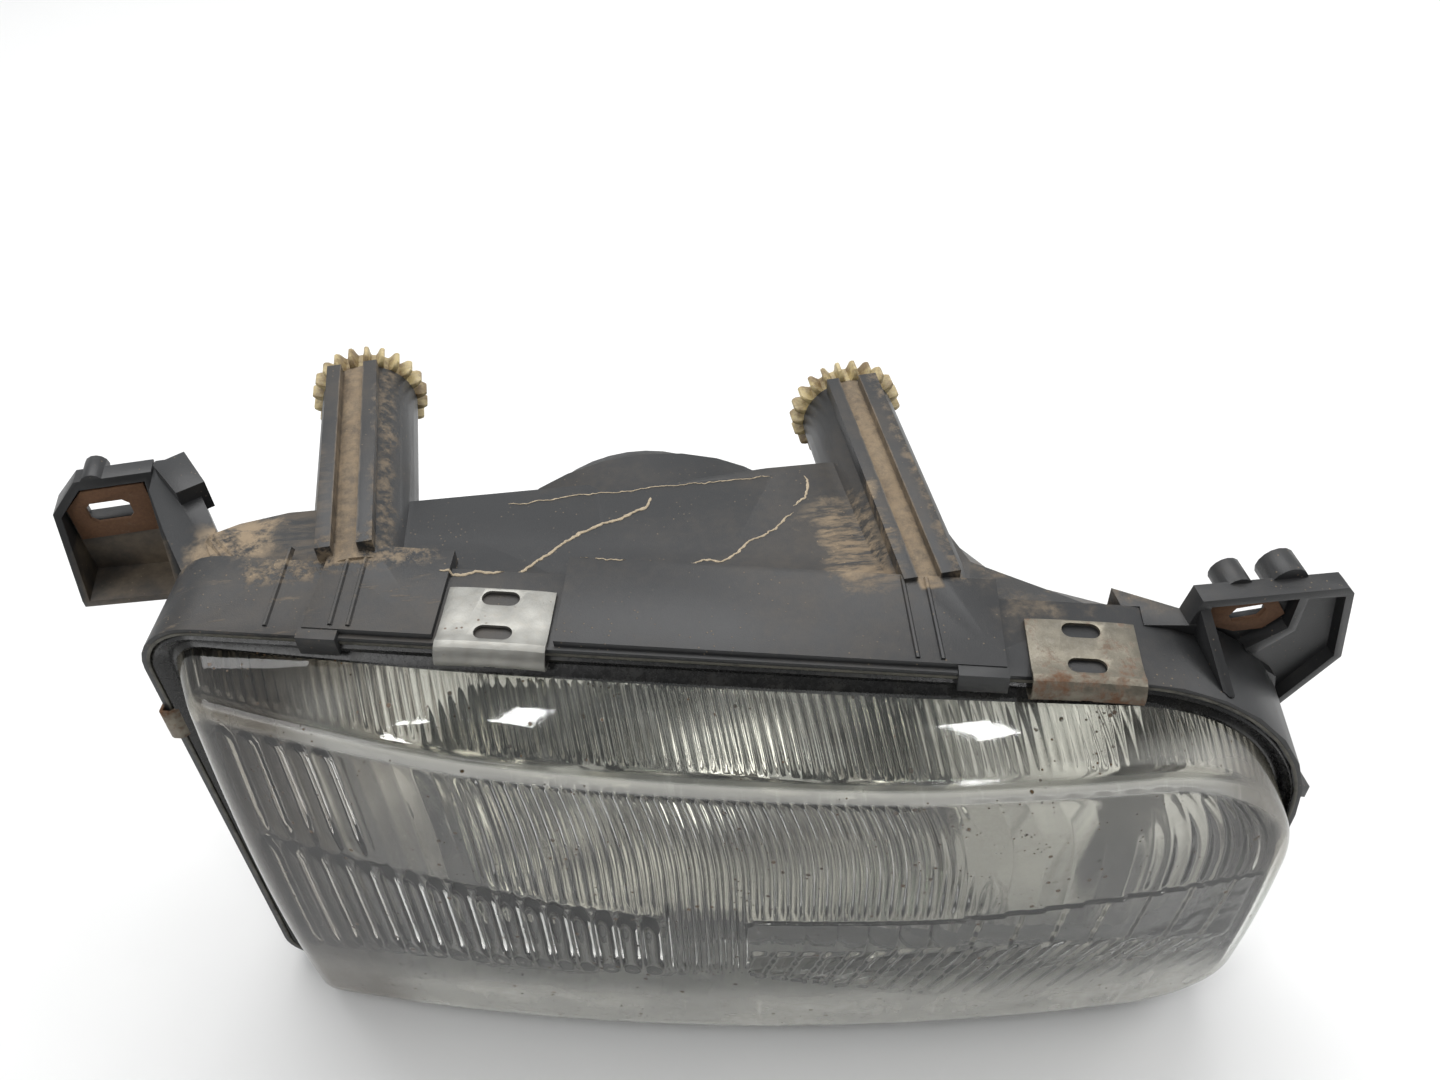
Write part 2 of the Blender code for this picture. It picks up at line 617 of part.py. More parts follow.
# ---------------------------------------------------------------- adjusters
def gear_outline(scale):
    """Chunky teeth with flat tips, as (x, z) about the gear's centre."""
    points = []
    pitch = 2 * math.pi / GEAR_TEETH
    tip = GEAR_ROOT + (GEAR_TIP - GEAR_ROOT) * scale
    for tooth in range(GEAR_TEETH):
        for part, radius in ((-0.30, GEAR_ROOT), (-0.15, tip), (0.15, tip), (0.30, GEAR_ROOT)):
            angle = pitch * (tooth + part)
            points.append((radius * math.cos(angle), radius * math.sin(angle)))
    return points


def adjuster(side):
    """Gear, threaded spindle and the nut whose ball pushes one corner of the reflector."""
    x, z, front, rear, ball = ADJUSTERS[side]
    pivot = (x, rear + GAP, z)
    start = rear + GAP
    end = start + GEAR_WIDTH
    widths = ((start, 0.55), (start + 0.0015, 1.0), (end - 0.0015, 1.0), (end, 0.55))
    rings = [[(x + a, y, z + b) for a, b in gear_outline(scale)] for y, scale in widths]
    gear = add(f"adjuster_gear_{side}", loft(rings), "nylon", pivot)
    bore = turned([(0.0043, start - 0.01), (0.0043, start + GEAR_WIDTH + 0.01)], (x, z), 20)
    combine(gear, bore, "DIFFERENCE")
    combine(gear, turned([(0.0120, start + 0.0062), (0.0120, start + 0.02)], (x, z), 24), "DIFFERENCE")
    head = start + 0.0062
    spindle = [(0.0030, ball + 0.0200), (0.0030, start - 0.012), (0.0040, start - 0.010)]
    spindle.append((0.0040, head + GAP))
    spindle += [(0.0080, head + GAP), (0.0080, head + 0.0024), (0.0058, head + 0.0032)]
    add(f"adjuster_screw_{side}", turned(spindle, (x, z), 16), "zinc", pivot)
    nut = [(0.0008, ball - BALL_RADIUS)]
    for k in range(1, 8):
        turn = math.pi * k / 9
        nut.append((BALL_RADIUS * math.sin(turn), ball - BALL_RADIUS * math.cos(turn)))
    nut += [(0.0020, ball + 0.0055), (NUT_RADIUS, ball + 0.0085)]
    nut += [(NUT_RADIUS, ball + 0.032), (0.0034, ball + 0.032)]
    nut += [(0.0034, ball + 0.0140), (0.0006, ball + 0.0140)]
    add(f"adjuster_nut_{side}", turned(nut, (x, z), 20), "nylon", (x, ball, z))


def socket(name, x, z, ball):
    """A nylon cup that snaps over a ball; it stays clear of it all round."""
    outer = BALL_RADIUS + BALL_ROOM + 0.0011
    profile = [(outer, ball + 0.0012), (outer, ball - SOCKET_DEPTH), (0.0004, ball - SOCKET_DEPTH)]
    cup = turned(profile, (x, z), 20)
    made = add(name, cup, "nylon", (x, ball, z))
    room = BALL_RADIUS + BALL_ROOM
    room = turned([(room, ball + 0.006), (room, ball - 0.0060)], (x, z), 20)
    combine(made, room, "DIFFERENCE")


def pivot():
    """The fixed ball low in the housing, straight below the right adjuster's ball."""
    x, _, _, _, ball = ADJUSTERS["right"]
    stud = [(0.0008, ball - BALL_RADIUS)]
    for k in range(1, 8):
        turn = math.pi * k / 9
        stud.append((BALL_RADIUS * math.sin(turn), ball - BALL_RADIUS * math.cos(turn)))
    stud += [(0.0020, ball + 0.0055), (0.0070, ball + 0.0085), (0.0070, ball + 0.026)]
    post = add("pivot_post", turned(stud, (x, PIVOT_Z), 20), "nylon")
    combine(post, block((x - 0.006, ball + 0.0110, 0.0095), (x + 0.006, ball + 0.0240, PIVOT_Z)), "UNION")
    socket("pivot_socket", x, PIVOT_Z, ball)


# ---------------------------------------------------------------- reflector and bulbs
def reflector_plane(x, z, depth):
    """The point over (x, z) on a plane parallel to the rim, this far behind it."""
    return (x, RIM_Y - math.tan(RIM_SWEEP) * x + depth / math.cos(RIM_SWEEP), z)


def bowl_reach(angle, spare):
    """The bowl's edge radius: round at the sides, cut flat above and below, inside the front outline."""
    reach = BOWL_RADIUS
    if math.sin(angle) > 1e-6:
        reach = min(reach, (BOWL_TOP - AXIS_Z) / math.sin(angle))
    if math.sin(angle) < -1e-6:
        reach = min(reach, (AXIS_Z - BOWL_BOTTOM) / -math.sin(angle))
    return reach + spare


def bowl_y(radius):
    return BOWL_VERTEX_Y - radius**2 / (4 * BOWL_FOCUS)


def bowl_ring(share, spare, back):
    """A ring of the parabola at a share of the way from the bulb hole to the bowl's edge."""
    ring = []
    for angle in ANGLES:
        radius = BULB_HOLE_RADIUS + (bowl_reach(angle, 0.0) - BULB_HOLE_RADIUS) * share
        y = bowl_y(radius) + back
        radius += spare
        ring.append((AXIS_X + radius * math.cos(angle), y, AXIS_Z + radius * math.sin(angle)))
    return ring


def edge_ring(spare, depth):
    ring = []
    for angle in ANGLES:
        radius = bowl_reach(angle, spare)
        x, z = AXIS_X + radius * math.cos(angle), AXIS_Z + radius * math.sin(angle)
        ring.append(reflector_plane(x, z, depth))
    return ring


def reflector():
    """Front panel, flat shelves, parabola and the bulb's collar."""
    x, _, _, _, ball = ADJUSTERS["right"]
    pivot_at = (x, ball, PIVOT_Z)
    front = REFLECTOR_SETBACK
    rings = [
        rim_ring(REFLECTOR_INSET, front + 0.006),
        rim_ring(REFLECTOR_INSET, front),
        edge_ring(0.0, front + 0.001),
        bowl_ring(1.0, 0.0, 0.0),
        bowl_ring(0.8, 0.0, 0.0),
        bowl_ring(0.6, 0.0, 0.0),
        bowl_ring(0.4, 0.0, 0.0),
        bowl_ring(0.2, 0.0, 0.0),
        bowl_ring(0.0, 0.0, 0.0),
        bowl_ring(0.0, 0.0, 0.0060),
        bowl_ring(0.0, 0.0035, 0.0060),
        bowl_ring(0.0, 0.0035, 0.0022),
        bowl_ring(0.4, SHEET, 0.0022),
        bowl_ring(0.7, SHEET, 0.0018),
        bowl_ring(1.0, SHEET, 0.0016),
        edge_ring(SHEET, front + 0.001 + SHEET),
        rim_ring(REFLECTOR_INSET + SHEET, front + 0.001 + SHEET),
        rim_ring(REFLECTOR_INSET + SHEET, front + 0.006),
    ]
    bowl = add("reflector_bowl", loft(rings, loop=True), "mirror", pivot_at)
    hole = turned([(0.0062, -0.10), (0.0062, 0.08)], (AXIS_X + 0.001, AXIS_Z - 0.058), 16)
    combine(bowl, hole, "DIFFERENCE")
    for side in ADJUSTERS:
        sx, sz, _, _, sy = ADJUSTERS[side]
        lug(bowl, sx, sy, sz - 0.0140, sz - 0.0022)
        socket(f"ball_socket_{side}", sx, sz, sy)
    lug(bowl, x, ball, PIVOT_Z - 0.0070, PIVOT_Z + 0.0070)
    shield()
    bulb()
    parking_light()


def lug(bowl, x, ball, low, high):
    """A block on the back of the panel that carries a ball socket."""
    rear = ball - SOCKET_DEPTH - GAP
    front = reflector_plane(x, low, REFLECTOR_SETBACK + 0.0022)[1]
    combine(bowl, block((x - 0.0030, front, low), (x + 0.0030, rear, high)), "UNION")


def shield():
    """A small cup in front of the bulb, on one leg that stands on the bowl's lower shelf."""
    tip = BOWL_VERTEX_Y - 0.062
    profile = [(0.0095, tip + 0.016), (0.0105, tip + 0.004), (0.0075, tip), (0.0005, tip - 0.001)]
    profile += [(0.0005, tip + 0.0008), (0.0070, tip + 0.0016), (0.0095, tip + 0.0048), (0.0087, tip + 0.016)]
    cup = add("bulb_shield", turned(profile, (AXIS_X, AXIS_Z), 24, loop=True), "mirror")
    foot = (AXIS_X - 0.002, tip + 0.006, BOWL_BOTTOM + GAP)
    leg = block(foot, (AXIS_X + 0.002, tip + 0.0072, AXIS_Z - 0.0090))
    combine(cup, leg, "UNION")


def bulb():
    """Two-filament halogen bulb: glass, metal base with its locating flange, and three blades."""
    seat = BOWL_VERTEX_Y + 0.0045
    glass = [(0.0030, seat - 0.052), (0.0072, seat - 0.0485), (0.0082, seat - 0.045), (0.0082, seat - 0.012)]
    glass.append((0.0078, seat - 0.0100))
    add("bulb_glass", turned(glass, (AXIS_X, AXIS_Z), 20), "glass")
    base = [(0.0085, seat - 0.0097), (0.0105, seat - 0.0080), (0.0105, seat)]
    base += [(0.0170, seat), (0.0170, seat + 0.0012)]
    base += [(0.0140, seat + 0.0012), (0.0140, seat + 0.0120), (0.0120, seat + 0.0130)]
    add("bulb_base", turned(base, (AXIS_X, AXIS_Z), 28), "zinc")
    start = seat + 0.0130 + GAP
    blades = (
        ((-0.0070, -0.0004), (-0.0062, 0.0076)),
        ((0.0062, -0.0004), (0.0070, 0.0076)),
        ((-0.0040, 0.0096), (0.0040, 0.0104)),
    )
    for number, (low, high) in enumerate(blades, 1):
        shift_z = AXIS_Z - 0.004
        first = (AXIS_X + low[0], start, shift_z + low[1])
        blade = block(first, (AXIS_X + high[0], start + 0.0080, shift_z + high[1]))
        add(f"bulb_terminal_{number}", blade, "brass")
    bulb_spring(seat)


def bulb_spring(seat):
    """A wire loop hinged below the bulb that presses on the base flange."""
    y = seat + 0.0024
    route = [
        (-0.0205, y, -0.0240),
        (-0.0185, y, -0.0120),
        (-0.0155, y, 0.0000),
        (-0.0165, y, 0.0120),
        (-0.0120, y, 0.0230),
        (0.0120, y, 0.0230),
        (0.0165, y, 0.0120),
        (0.0155, y, 0.0000),
        (0.0185, y, -0.0120),
        (0.0205, y, -0.0240),
    ]
    curve = bpy.data.curves.new("bulb_spring", "CURVE")
    curve.dimensions = "3D"
    curve.bevel_depth = 0.0007
    curve.bevel_resolution = 1
    curve.use_fill_caps = True
    spline = curve.splines.new("POLY")
    spline.points.add(len(route) - 1)
    hinge_z = -0.0240
    for point, (a, b, c) in zip(spline.points, route):
        point.co = (a, b - y, c - hinge_z, 1.0)
    curve.materials.append(material("zinc"))
    made = bpy.data.objects.new("bulb_spring", curve)
    made.location = (AXIS_X, y, AXIS_Z + hinge_z)
    made.parent = frame
    bpy.context.scene.collection.objects.link(made)


def parking_light():
    """A wedge bulb and its twist-in holder, below the main bulb."""
    x, z = AXIS_X + 0.001, AXIS_Z - 0.058
    seat = bowl_y(0.058) + 0.0060
    bulb_profile = [(0.0012, seat - 0.021), (0.0040, seat - 0.018), (0.0042, seat - 0.005)]
    add("parking_bulb", turned(bulb_profile, (x, z), 14), "glass")
    holder = [(0.0056, seat - 0.0046), (0.0056, seat + 0.009), (0.0085, seat + 0.009), (0.0085, seat + 0.012)]
    holder += [(0.0060, seat + 0.012), (0.0060, seat + 0.016)]
    body = add("parking_holder", turned(holder, (x, z), 18), "grey plastic", (x, seat, z))
    grip = block((x - 0.0015, seat + 0.014, z - 0.0075), (x + 0.0015, seat + 0.0175, z + 0.0075))
    combine(body, grip, "UNION")


# ---------------------------------------------------------------- rear cap, breather, connector
def rear_fittings():
    """Twist-off dust cap with two finger ribs, its seal, the breather and the wiring socket."""
    inner = CAP_COLLAR_RADIUS + GAP
    cap = [
        (inner, DOME_REAR_Y + 0.0030),
        (inner + 0.0025, DOME_REAR_Y + 0.0030),
        (inner + 0.0025, CAP_COLLAR_REAR_Y + 0.004),
        (inner - 0.0080, CAP_REAR_Y - 0.004),
        (inner - 0.0120, CAP_REAR_Y),
        (0.0008, CAP_REAR_Y),
        (0.0008, CAP_REAR_Y - 0.0022),
        (inner - 0.0130, CAP_REAR_Y - 0.0022),
        (inner - 0.0100, CAP_REAR_Y - 0.005),
        (inner, CAP_COLLAR_REAR_Y + 0.003),
    ]
    cap = turned(cap, (AXIS_X, AXIS_Z), 40, loop=True)
    body = add("dust_cap", cap, "rubber", (AXIS_X, CAP_REAR_Y, AXIS_Z))
    plug = turned([(0.0100, CAP_REAR_Y - 0.0020), (0.0100, CAP_REAR_Y - 0.0002)], (AXIS_X, AXIS_Z), 16)
    combine(body, plug, "UNION")
    for turn in (0.0, math.pi / 2):
        arm = [(-0.030, -0.0015), (0.030, -0.0015), (0.030, 0.0015), (-0.030, 0.0015)]
        turned_arm = [
            (
                AXIS_X + a * math.cos(turn) - b * math.sin(turn),
                AXIS_Z + a * math.sin(turn) + b * math.cos(turn),
            )
            for a, b in arm
        ]
        combine(body, along_y(turned_arm, CAP_REAR_Y - 0.001, CAP_REAR_Y + 0.004 + 0.0002 * turn), "UNION")
    seal = [(inner + GAP, DOME_REAR_Y + GAP), (inner + GAP, DOME_REAR_Y + 0.0027)]
    seal.append((inner + 0.004, DOME_REAR_Y + 0.0027))
    seal.append((inner + 0.004, DOME_REAR_Y + GAP))
    add("dust_cap_seal", turned(seal, (AXIS_X, AXIS_Z), 40, loop=True), "rubber")
    vent = [(0.0042, BOX_REAR_Y - 0.006), (0.0042, BOX_REAR_Y + GAP), (0.0085, BOX_REAR_Y + GAP)]
    vent += [(0.0085, BOX_REAR_Y + 0.009), (0.0068, BOX_REAR_Y + 0.011)]
    add("vent_cap", turned(vent, (-0.112, 0.120), 18), "rubber")
    connector()


def connector():
    low, high = (-0.1227, BOX_REAR_Y - 0.008, 0.0463), (-0.1013, BOX_REAR_Y + 0.020, 0.0637)
    shell = add("connector_shell", block(low, high), "grey plastic")
    wall = 0.0015
    inside = [(low[0] + wall, low[1] + 0.0115, low[2] + wall)]
    inside.append((high[0] - wall, high[1] + 0.004, high[2] - wall))
    combine(shell, block(*inside), "DIFFERENCE")
    for number in range(3):
        x = -0.1120 + 0.0060 * (number - 1)
        start = low[1] + 0.0115 + GAP
        pin = block((x - 0.0016, start, 0.0546), (x + 0.0016, start + 0.0095, 0.0554))
        add(f"connector_pin_{number + 1}", pin, "brass")


housing()
lens()
clips()
left_ear()
right_ear()
ear_inserts()
for lamp_side in ADJUSTERS:
    adjuster(lamp_side)
pivot()
reflector()
rear_fittings()
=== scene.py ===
"""Looks of the car headlight assembly: fluted glass lens, dusty moulded housing, clips, aiming gears,
mirrored reflector and rear cap, on a plain pale floor.

Metres, +Z up, +Y back into the car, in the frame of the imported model."""

import math

import bmesh
import bpy
import numpy as np
from mathutils import Matrix, Vector, noise
from mathutils.bvhtree import BVHTree


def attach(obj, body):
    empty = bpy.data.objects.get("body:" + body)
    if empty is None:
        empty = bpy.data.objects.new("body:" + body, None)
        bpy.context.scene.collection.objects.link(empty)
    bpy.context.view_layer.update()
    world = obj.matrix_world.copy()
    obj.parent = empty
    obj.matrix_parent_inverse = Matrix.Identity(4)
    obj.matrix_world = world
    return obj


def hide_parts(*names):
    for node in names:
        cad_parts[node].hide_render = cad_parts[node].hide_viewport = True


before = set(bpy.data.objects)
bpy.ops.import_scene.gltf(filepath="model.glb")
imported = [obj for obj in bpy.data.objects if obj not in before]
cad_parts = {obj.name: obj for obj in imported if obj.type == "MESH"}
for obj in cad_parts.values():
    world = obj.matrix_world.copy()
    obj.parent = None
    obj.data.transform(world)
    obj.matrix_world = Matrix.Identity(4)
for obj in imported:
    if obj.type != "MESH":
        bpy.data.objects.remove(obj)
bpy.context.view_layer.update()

# ---------------------------------------------------------------- driving dimensions, as in the solids
SHIFT = np.array((-0.0003, 0.0153, -0.0006))  # from the lamp's own frame to the row's frame
RIM_SWEEP = math.radians(13.26)  # the rim runs back towards the outer end
RIM_Y = -0.0724  # where the rim's plane crosses x = 0
RIM_CORNERS = [  # along the rim, height, corner radius
    (-0.1795, 0.0020, 0.014),
    (0.1950, 0.0020, 0.038),
    (0.1935, 0.1880, 0.068),
    (-0.1735, 0.2100, 0.020),
]
FACE_CORNERS = [  # x, height, corner radius of the lens's ridge
    (-0.1600, 0.0080, 0.006),
    (0.1855, 0.0080, 0.034),
    (0.1845, 0.1675, 0.056),
    (0.0590, 0.1712, 0.300),
    (-0.0750, 0.1820, 0.250),
    (-0.1550, 0.1970, 0.007),
]
FACE_SIDES = (0, 1, 2, 5)  # the corners that part the outline into bottom, inner end, top and outer end
FACE_RADIUS = 1.0128  # the face's curve in plan
FACE_CENTRE = (0.2087, 0.8905)
FACE_BULGE = 0.0070
FACE_MIDDLE_Z = 0.096
FACE_HALF_HEIGHT = 0.092
GLASS = 0.0038  # thickness of the face
GROOVE = 0.0110  # depth of the rim's groove
LIP = 0.0026  # thickness of its lip
AXIS_X = -0.006  # the light axis
AXIS_Z = 0.096
TUBES = {  # x, height, front and rear of each adjuster tube
    "left": (-0.1010, 0.1920, -0.0175, 0.0840),
    "right": (0.0780, 0.1785, -0.0570, 0.0520),
}
CHANNELS = {"left": (-0.0060, 0.0020), "right": (-0.0045, 0.0030)}  # between the ribs on each tube
PAD_HEIGHT = 0.0022  # the raised plates on the skirt

GLASS_EDGE = LIP + 0.0008  # the glass's back edge in the groove, inside the rim's outline
GLASS_BACK = GROOVE - 0.0022  # its depth, and the depth of the step in front of it
GLASS_STEP = GROOVE - 0.0062
WALL_FOOT = (LIP + 0.0058, GROOVE - 0.0066)  # inset and depth where the glass wall starts, outside
WALL_INSIDE = LIP + 0.0066
RIDGE_RADIUS = 0.0072  # the turn from the glass wall to its face
RIDGE_START = 25  # degrees already turned where the wall meets the ridge
COLUMNS = 480  # quads across the fluted inside of the glass
ROWS = 100
WALL_ROWS = 18
FIRST_FLUTED = 5  # the row where the top wall's flutes start
WALL_FLUTE = 0.00055  # their depth
OUTSIDE = (160, 60, 160, 60)  # points along the four sides of the smooth outside


def at(x, y, z):
    """A point of the lamp's own frame, in the row's frame."""
    return Vector((x + SHIFT[0], y + SHIFT[1], z + SHIFT[2]))


# ---------------------------------------------------------------- making pieces
def finish_mesh(name, mesh, body, material, replaces=(), sharp=35):
    """Puts a mesh in the scene as a smooth-shaded piece that rides one body."""
    mesh.shade_smooth()
    mesh.set_sharp_from_angle(angle=math.radians(sharp))
    mesh.materials.append(material)
    made = bpy.data.objects.new(name, mesh)
    bpy.context.scene.collection.objects.link(made)
    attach(made, body)
    if replaces:
        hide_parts(*replaces)
    return made


def closed_mesh(name, points, faces):
    """A mesh with its faces outwards, from points in the lamp's own frame."""
    mesh = bpy.data.meshes.new(name)
    mesh.from_pydata([tuple(p) for p in (np.asarray(points, float) + SHIFT)], [], faces)
    mesh.validate()
    shape = bmesh.new()
    shape.from_mesh(mesh)
    bmesh.ops.recalc_face_normals(shape, faces=shape.faces[:])
    if shape.calc_volume(signed=True) < 0:
        bmesh.ops.reverse_faces(shape, faces=shape.faces[:])
    shape.to_mesh(mesh)
    shape.free()
    return mesh


def piece(name, points, faces, body, material, replaces=(), sharp=35):
    """A closed piece from points in the lamp's own frame."""
    return finish_mesh(name, closed_mesh(name, points, faces), body, material, replaces, sharp)


def apply_modifiers(made):
    """Bakes an object's modifiers into its mesh."""
    graph = bpy.context.evaluated_depsgraph_get()
    baked = bpy.data.meshes.new_from_object(made.evaluated_get(graph))
    made.modifiers.clear()
    made.data = baked


def soften(made, width):
    """Rounds the sharp edges of a piece."""
    bevel = made.modifiers.new("round", "BEVEL")
    bevel.width = width
    bevel.segments = 2
    bevel.limit_method = "ANGLE"
    bevel.angle_limit = math.radians(32)
    bevel.use_clamp_overlap = True
    bevel.harden_normals = False
    bpy.context.view_layer.update()
    apply_modifiers(made)
    made.data.shade_smooth()
    made.data.set_sharp_from_angle(angle=math.radians(50))
    return made


def refined(node, body, material, width):
    """A copy of a CAD node with its flat faces merged and its edges rounded, shown in its place."""
    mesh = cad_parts[node].data.copy()
    mesh.materials.clear()
    shape = bmesh.new()
    shape.from_mesh(mesh)
    bmesh.ops.remove_doubles(shape, verts=shape.verts[:], dist=1e-6)
    flat = math.radians(0.4)
    verts, edges = shape.verts[:], shape.edges[:]
    bmesh.ops.dissolve_limit(shape, angle_limit=flat, verts=verts, edges=edges, delimit={"NORMAL"})
    shape.to_mesh(mesh)
    shape.free()
    made = finish_mesh(f"{node}_detail", mesh, body, material, (node,))
    return soften(made, width)


def loft_faces(rows, columns, start=0):
    """Quads between rows of points that each run round."""
    faces = []
    for r in range(rows - 1):
        for c in range(columns):
            d = (c + 1) % columns
            low, high = start + r * columns, start + (r + 1) * columns
            faces.append((low + c, low + d, high + d, high + c))
    return faces


def ring_faces(rings, loop):
    """The faces of a skin through rings, joined end to end or closed with two caps."""
    count = len(rings[0])
    last = (len(rings) - 1) * count
    faces = loft_faces(len(rings), count)
    if loop:
        return faces + [(last + c, last + (c + 1) % count, (c + 1) % count, c) for c in range(count)]
    return faces + [tuple(range(count))[::-1], tuple(last + c for c in range(count))]


def swept(name, rings, body, material, replaces=(), loop=False, sharp=35):
    """A closed skin through rings of equal length."""
    points = [point for ring in rings for point in ring]
    return piece(name, points, ring_faces(rings, loop), body, material, replaces, sharp)


# ---------------------------------------------------------------- outlines
ARC_STEP = math.radians(3)


def corner_arc(corners, i):
    """The points of the arc that rounds one corner of a polygon of (a, b, radius)."""
    corner = Vector(corners[i][:2])
    before = (Vector(corners[i - 1][:2]) - corner).normalized()
    after = (Vector(corners[(i + 1) % len(corners)][:2]) - corner).normalized()
    half = before.angle(after) / 2
    radius = corners[i][2]
    centre = corner + (before + after).normalized() * (radius / math.sin(half))
    start = corner + before * (radius / math.tan(half)) - centre
    end = corner + after * (radius / math.tan(half)) - centre
    turn = start.angle_signed(end)
    steps = max(2, 2 * math.ceil(abs(turn) / ARC_STEP / 2))
    return [centre + Matrix.Rotation(-turn * k / steps, 2) @ start for k in range(steps + 1)]


def inset(corners, distance):
    """The same corners with every edge moved inwards (outline given anticlockwise)."""
    edges = []
    for i, (a, b, _) in enumerate(corners):
        run = (Vector(corners[(i + 1) % len(corners)][:2]) - Vector((a, b))).normalized()
        edges.append((Vector((a, b)) + Vector((-run.y, run.x)) * distance, run))
    moved = []
    for i, (_, _, radius) in enumerate(corners):
        (p, d), (q, e) = edges[i - 1], edges[i]
        point = p + d * ((q - p).cross(e) / d.cross(e))
        moved.append((point.x, point.y, max(radius - distance, 0.003)))
    return moved


def resample(points, count):
    """count points at even spacing along a run of points, without its last point."""
    points = np.array([tuple(p) for p in points])
    along = np.concatenate([[0], np.cumsum(np.linalg.norm(np.diff(points, axis=0), axis=1))])
    where = np.linspace(0, along[-1], count, endpoint=False)
    return np.column_stack([np.interp(where, along, points[:, k]) for k in range(2)])


def sides_of(corners, sides, counts):
    """An outline in four runs, parted at the middle of the arcs of its main corners."""
    arcs = [corner_arc(corners, i) for i in range(len(corners))]
    runs = []
    for k, start in enumerate(sides):
        end = sides[(k + 1) % 4]
        run = arcs[start][len(arcs[start]) // 2 :]
        i = (start + 1) % len(corners)
        while i != end:
            run = run + arcs[i]
            i = (i + 1) % len(corners)
        run = run + arcs[end][: len(arcs[end]) // 2 + 1]
        runs.append(resample(run, counts[k]))
    return np.concatenate(runs)


def rim_ring(distance, depth, counts):
    """A ring inside the rim's outline by a distance, at a depth behind its front."""
    ring = sides_of(inset(RIM_CORNERS, distance), (0, 1, 2, 3), counts)
    x = ring[:, 0] * math.cos(RIM_SWEEP) + depth * math.sin(RIM_SWEEP)
    y = RIM_Y - ring[:, 0] * math.sin(RIM_SWEEP) + depth * math.cos(RIM_SWEEP)
    return np.column_stack([x, y, ring[:, 1]])


def face_y(x, z):
    """The lens face's front surface, curved in plan and bowed forward at its middle height."""
    bow = FACE_BULGE * (1 - ((z - FACE_MIDDLE_Z) / FACE_HALF_HEIGHT) ** 2)
    return FACE_CENTRE[1] - np.sqrt(FACE_RADIUS**2 - (x - FACE_CENTRE[0]) ** 2) - bow


def face_ring(distance, behind, counts):
    """A ring inside the ridge's outline by a distance, at a depth behind the face's skin."""
    ring = sides_of(inset(FACE_CORNERS, distance), FACE_SIDES, counts)
    return np.column_stack([ring[:, 0], face_y(ring[:, 0], ring[:, 1]) + behind, ring[:, 1]])


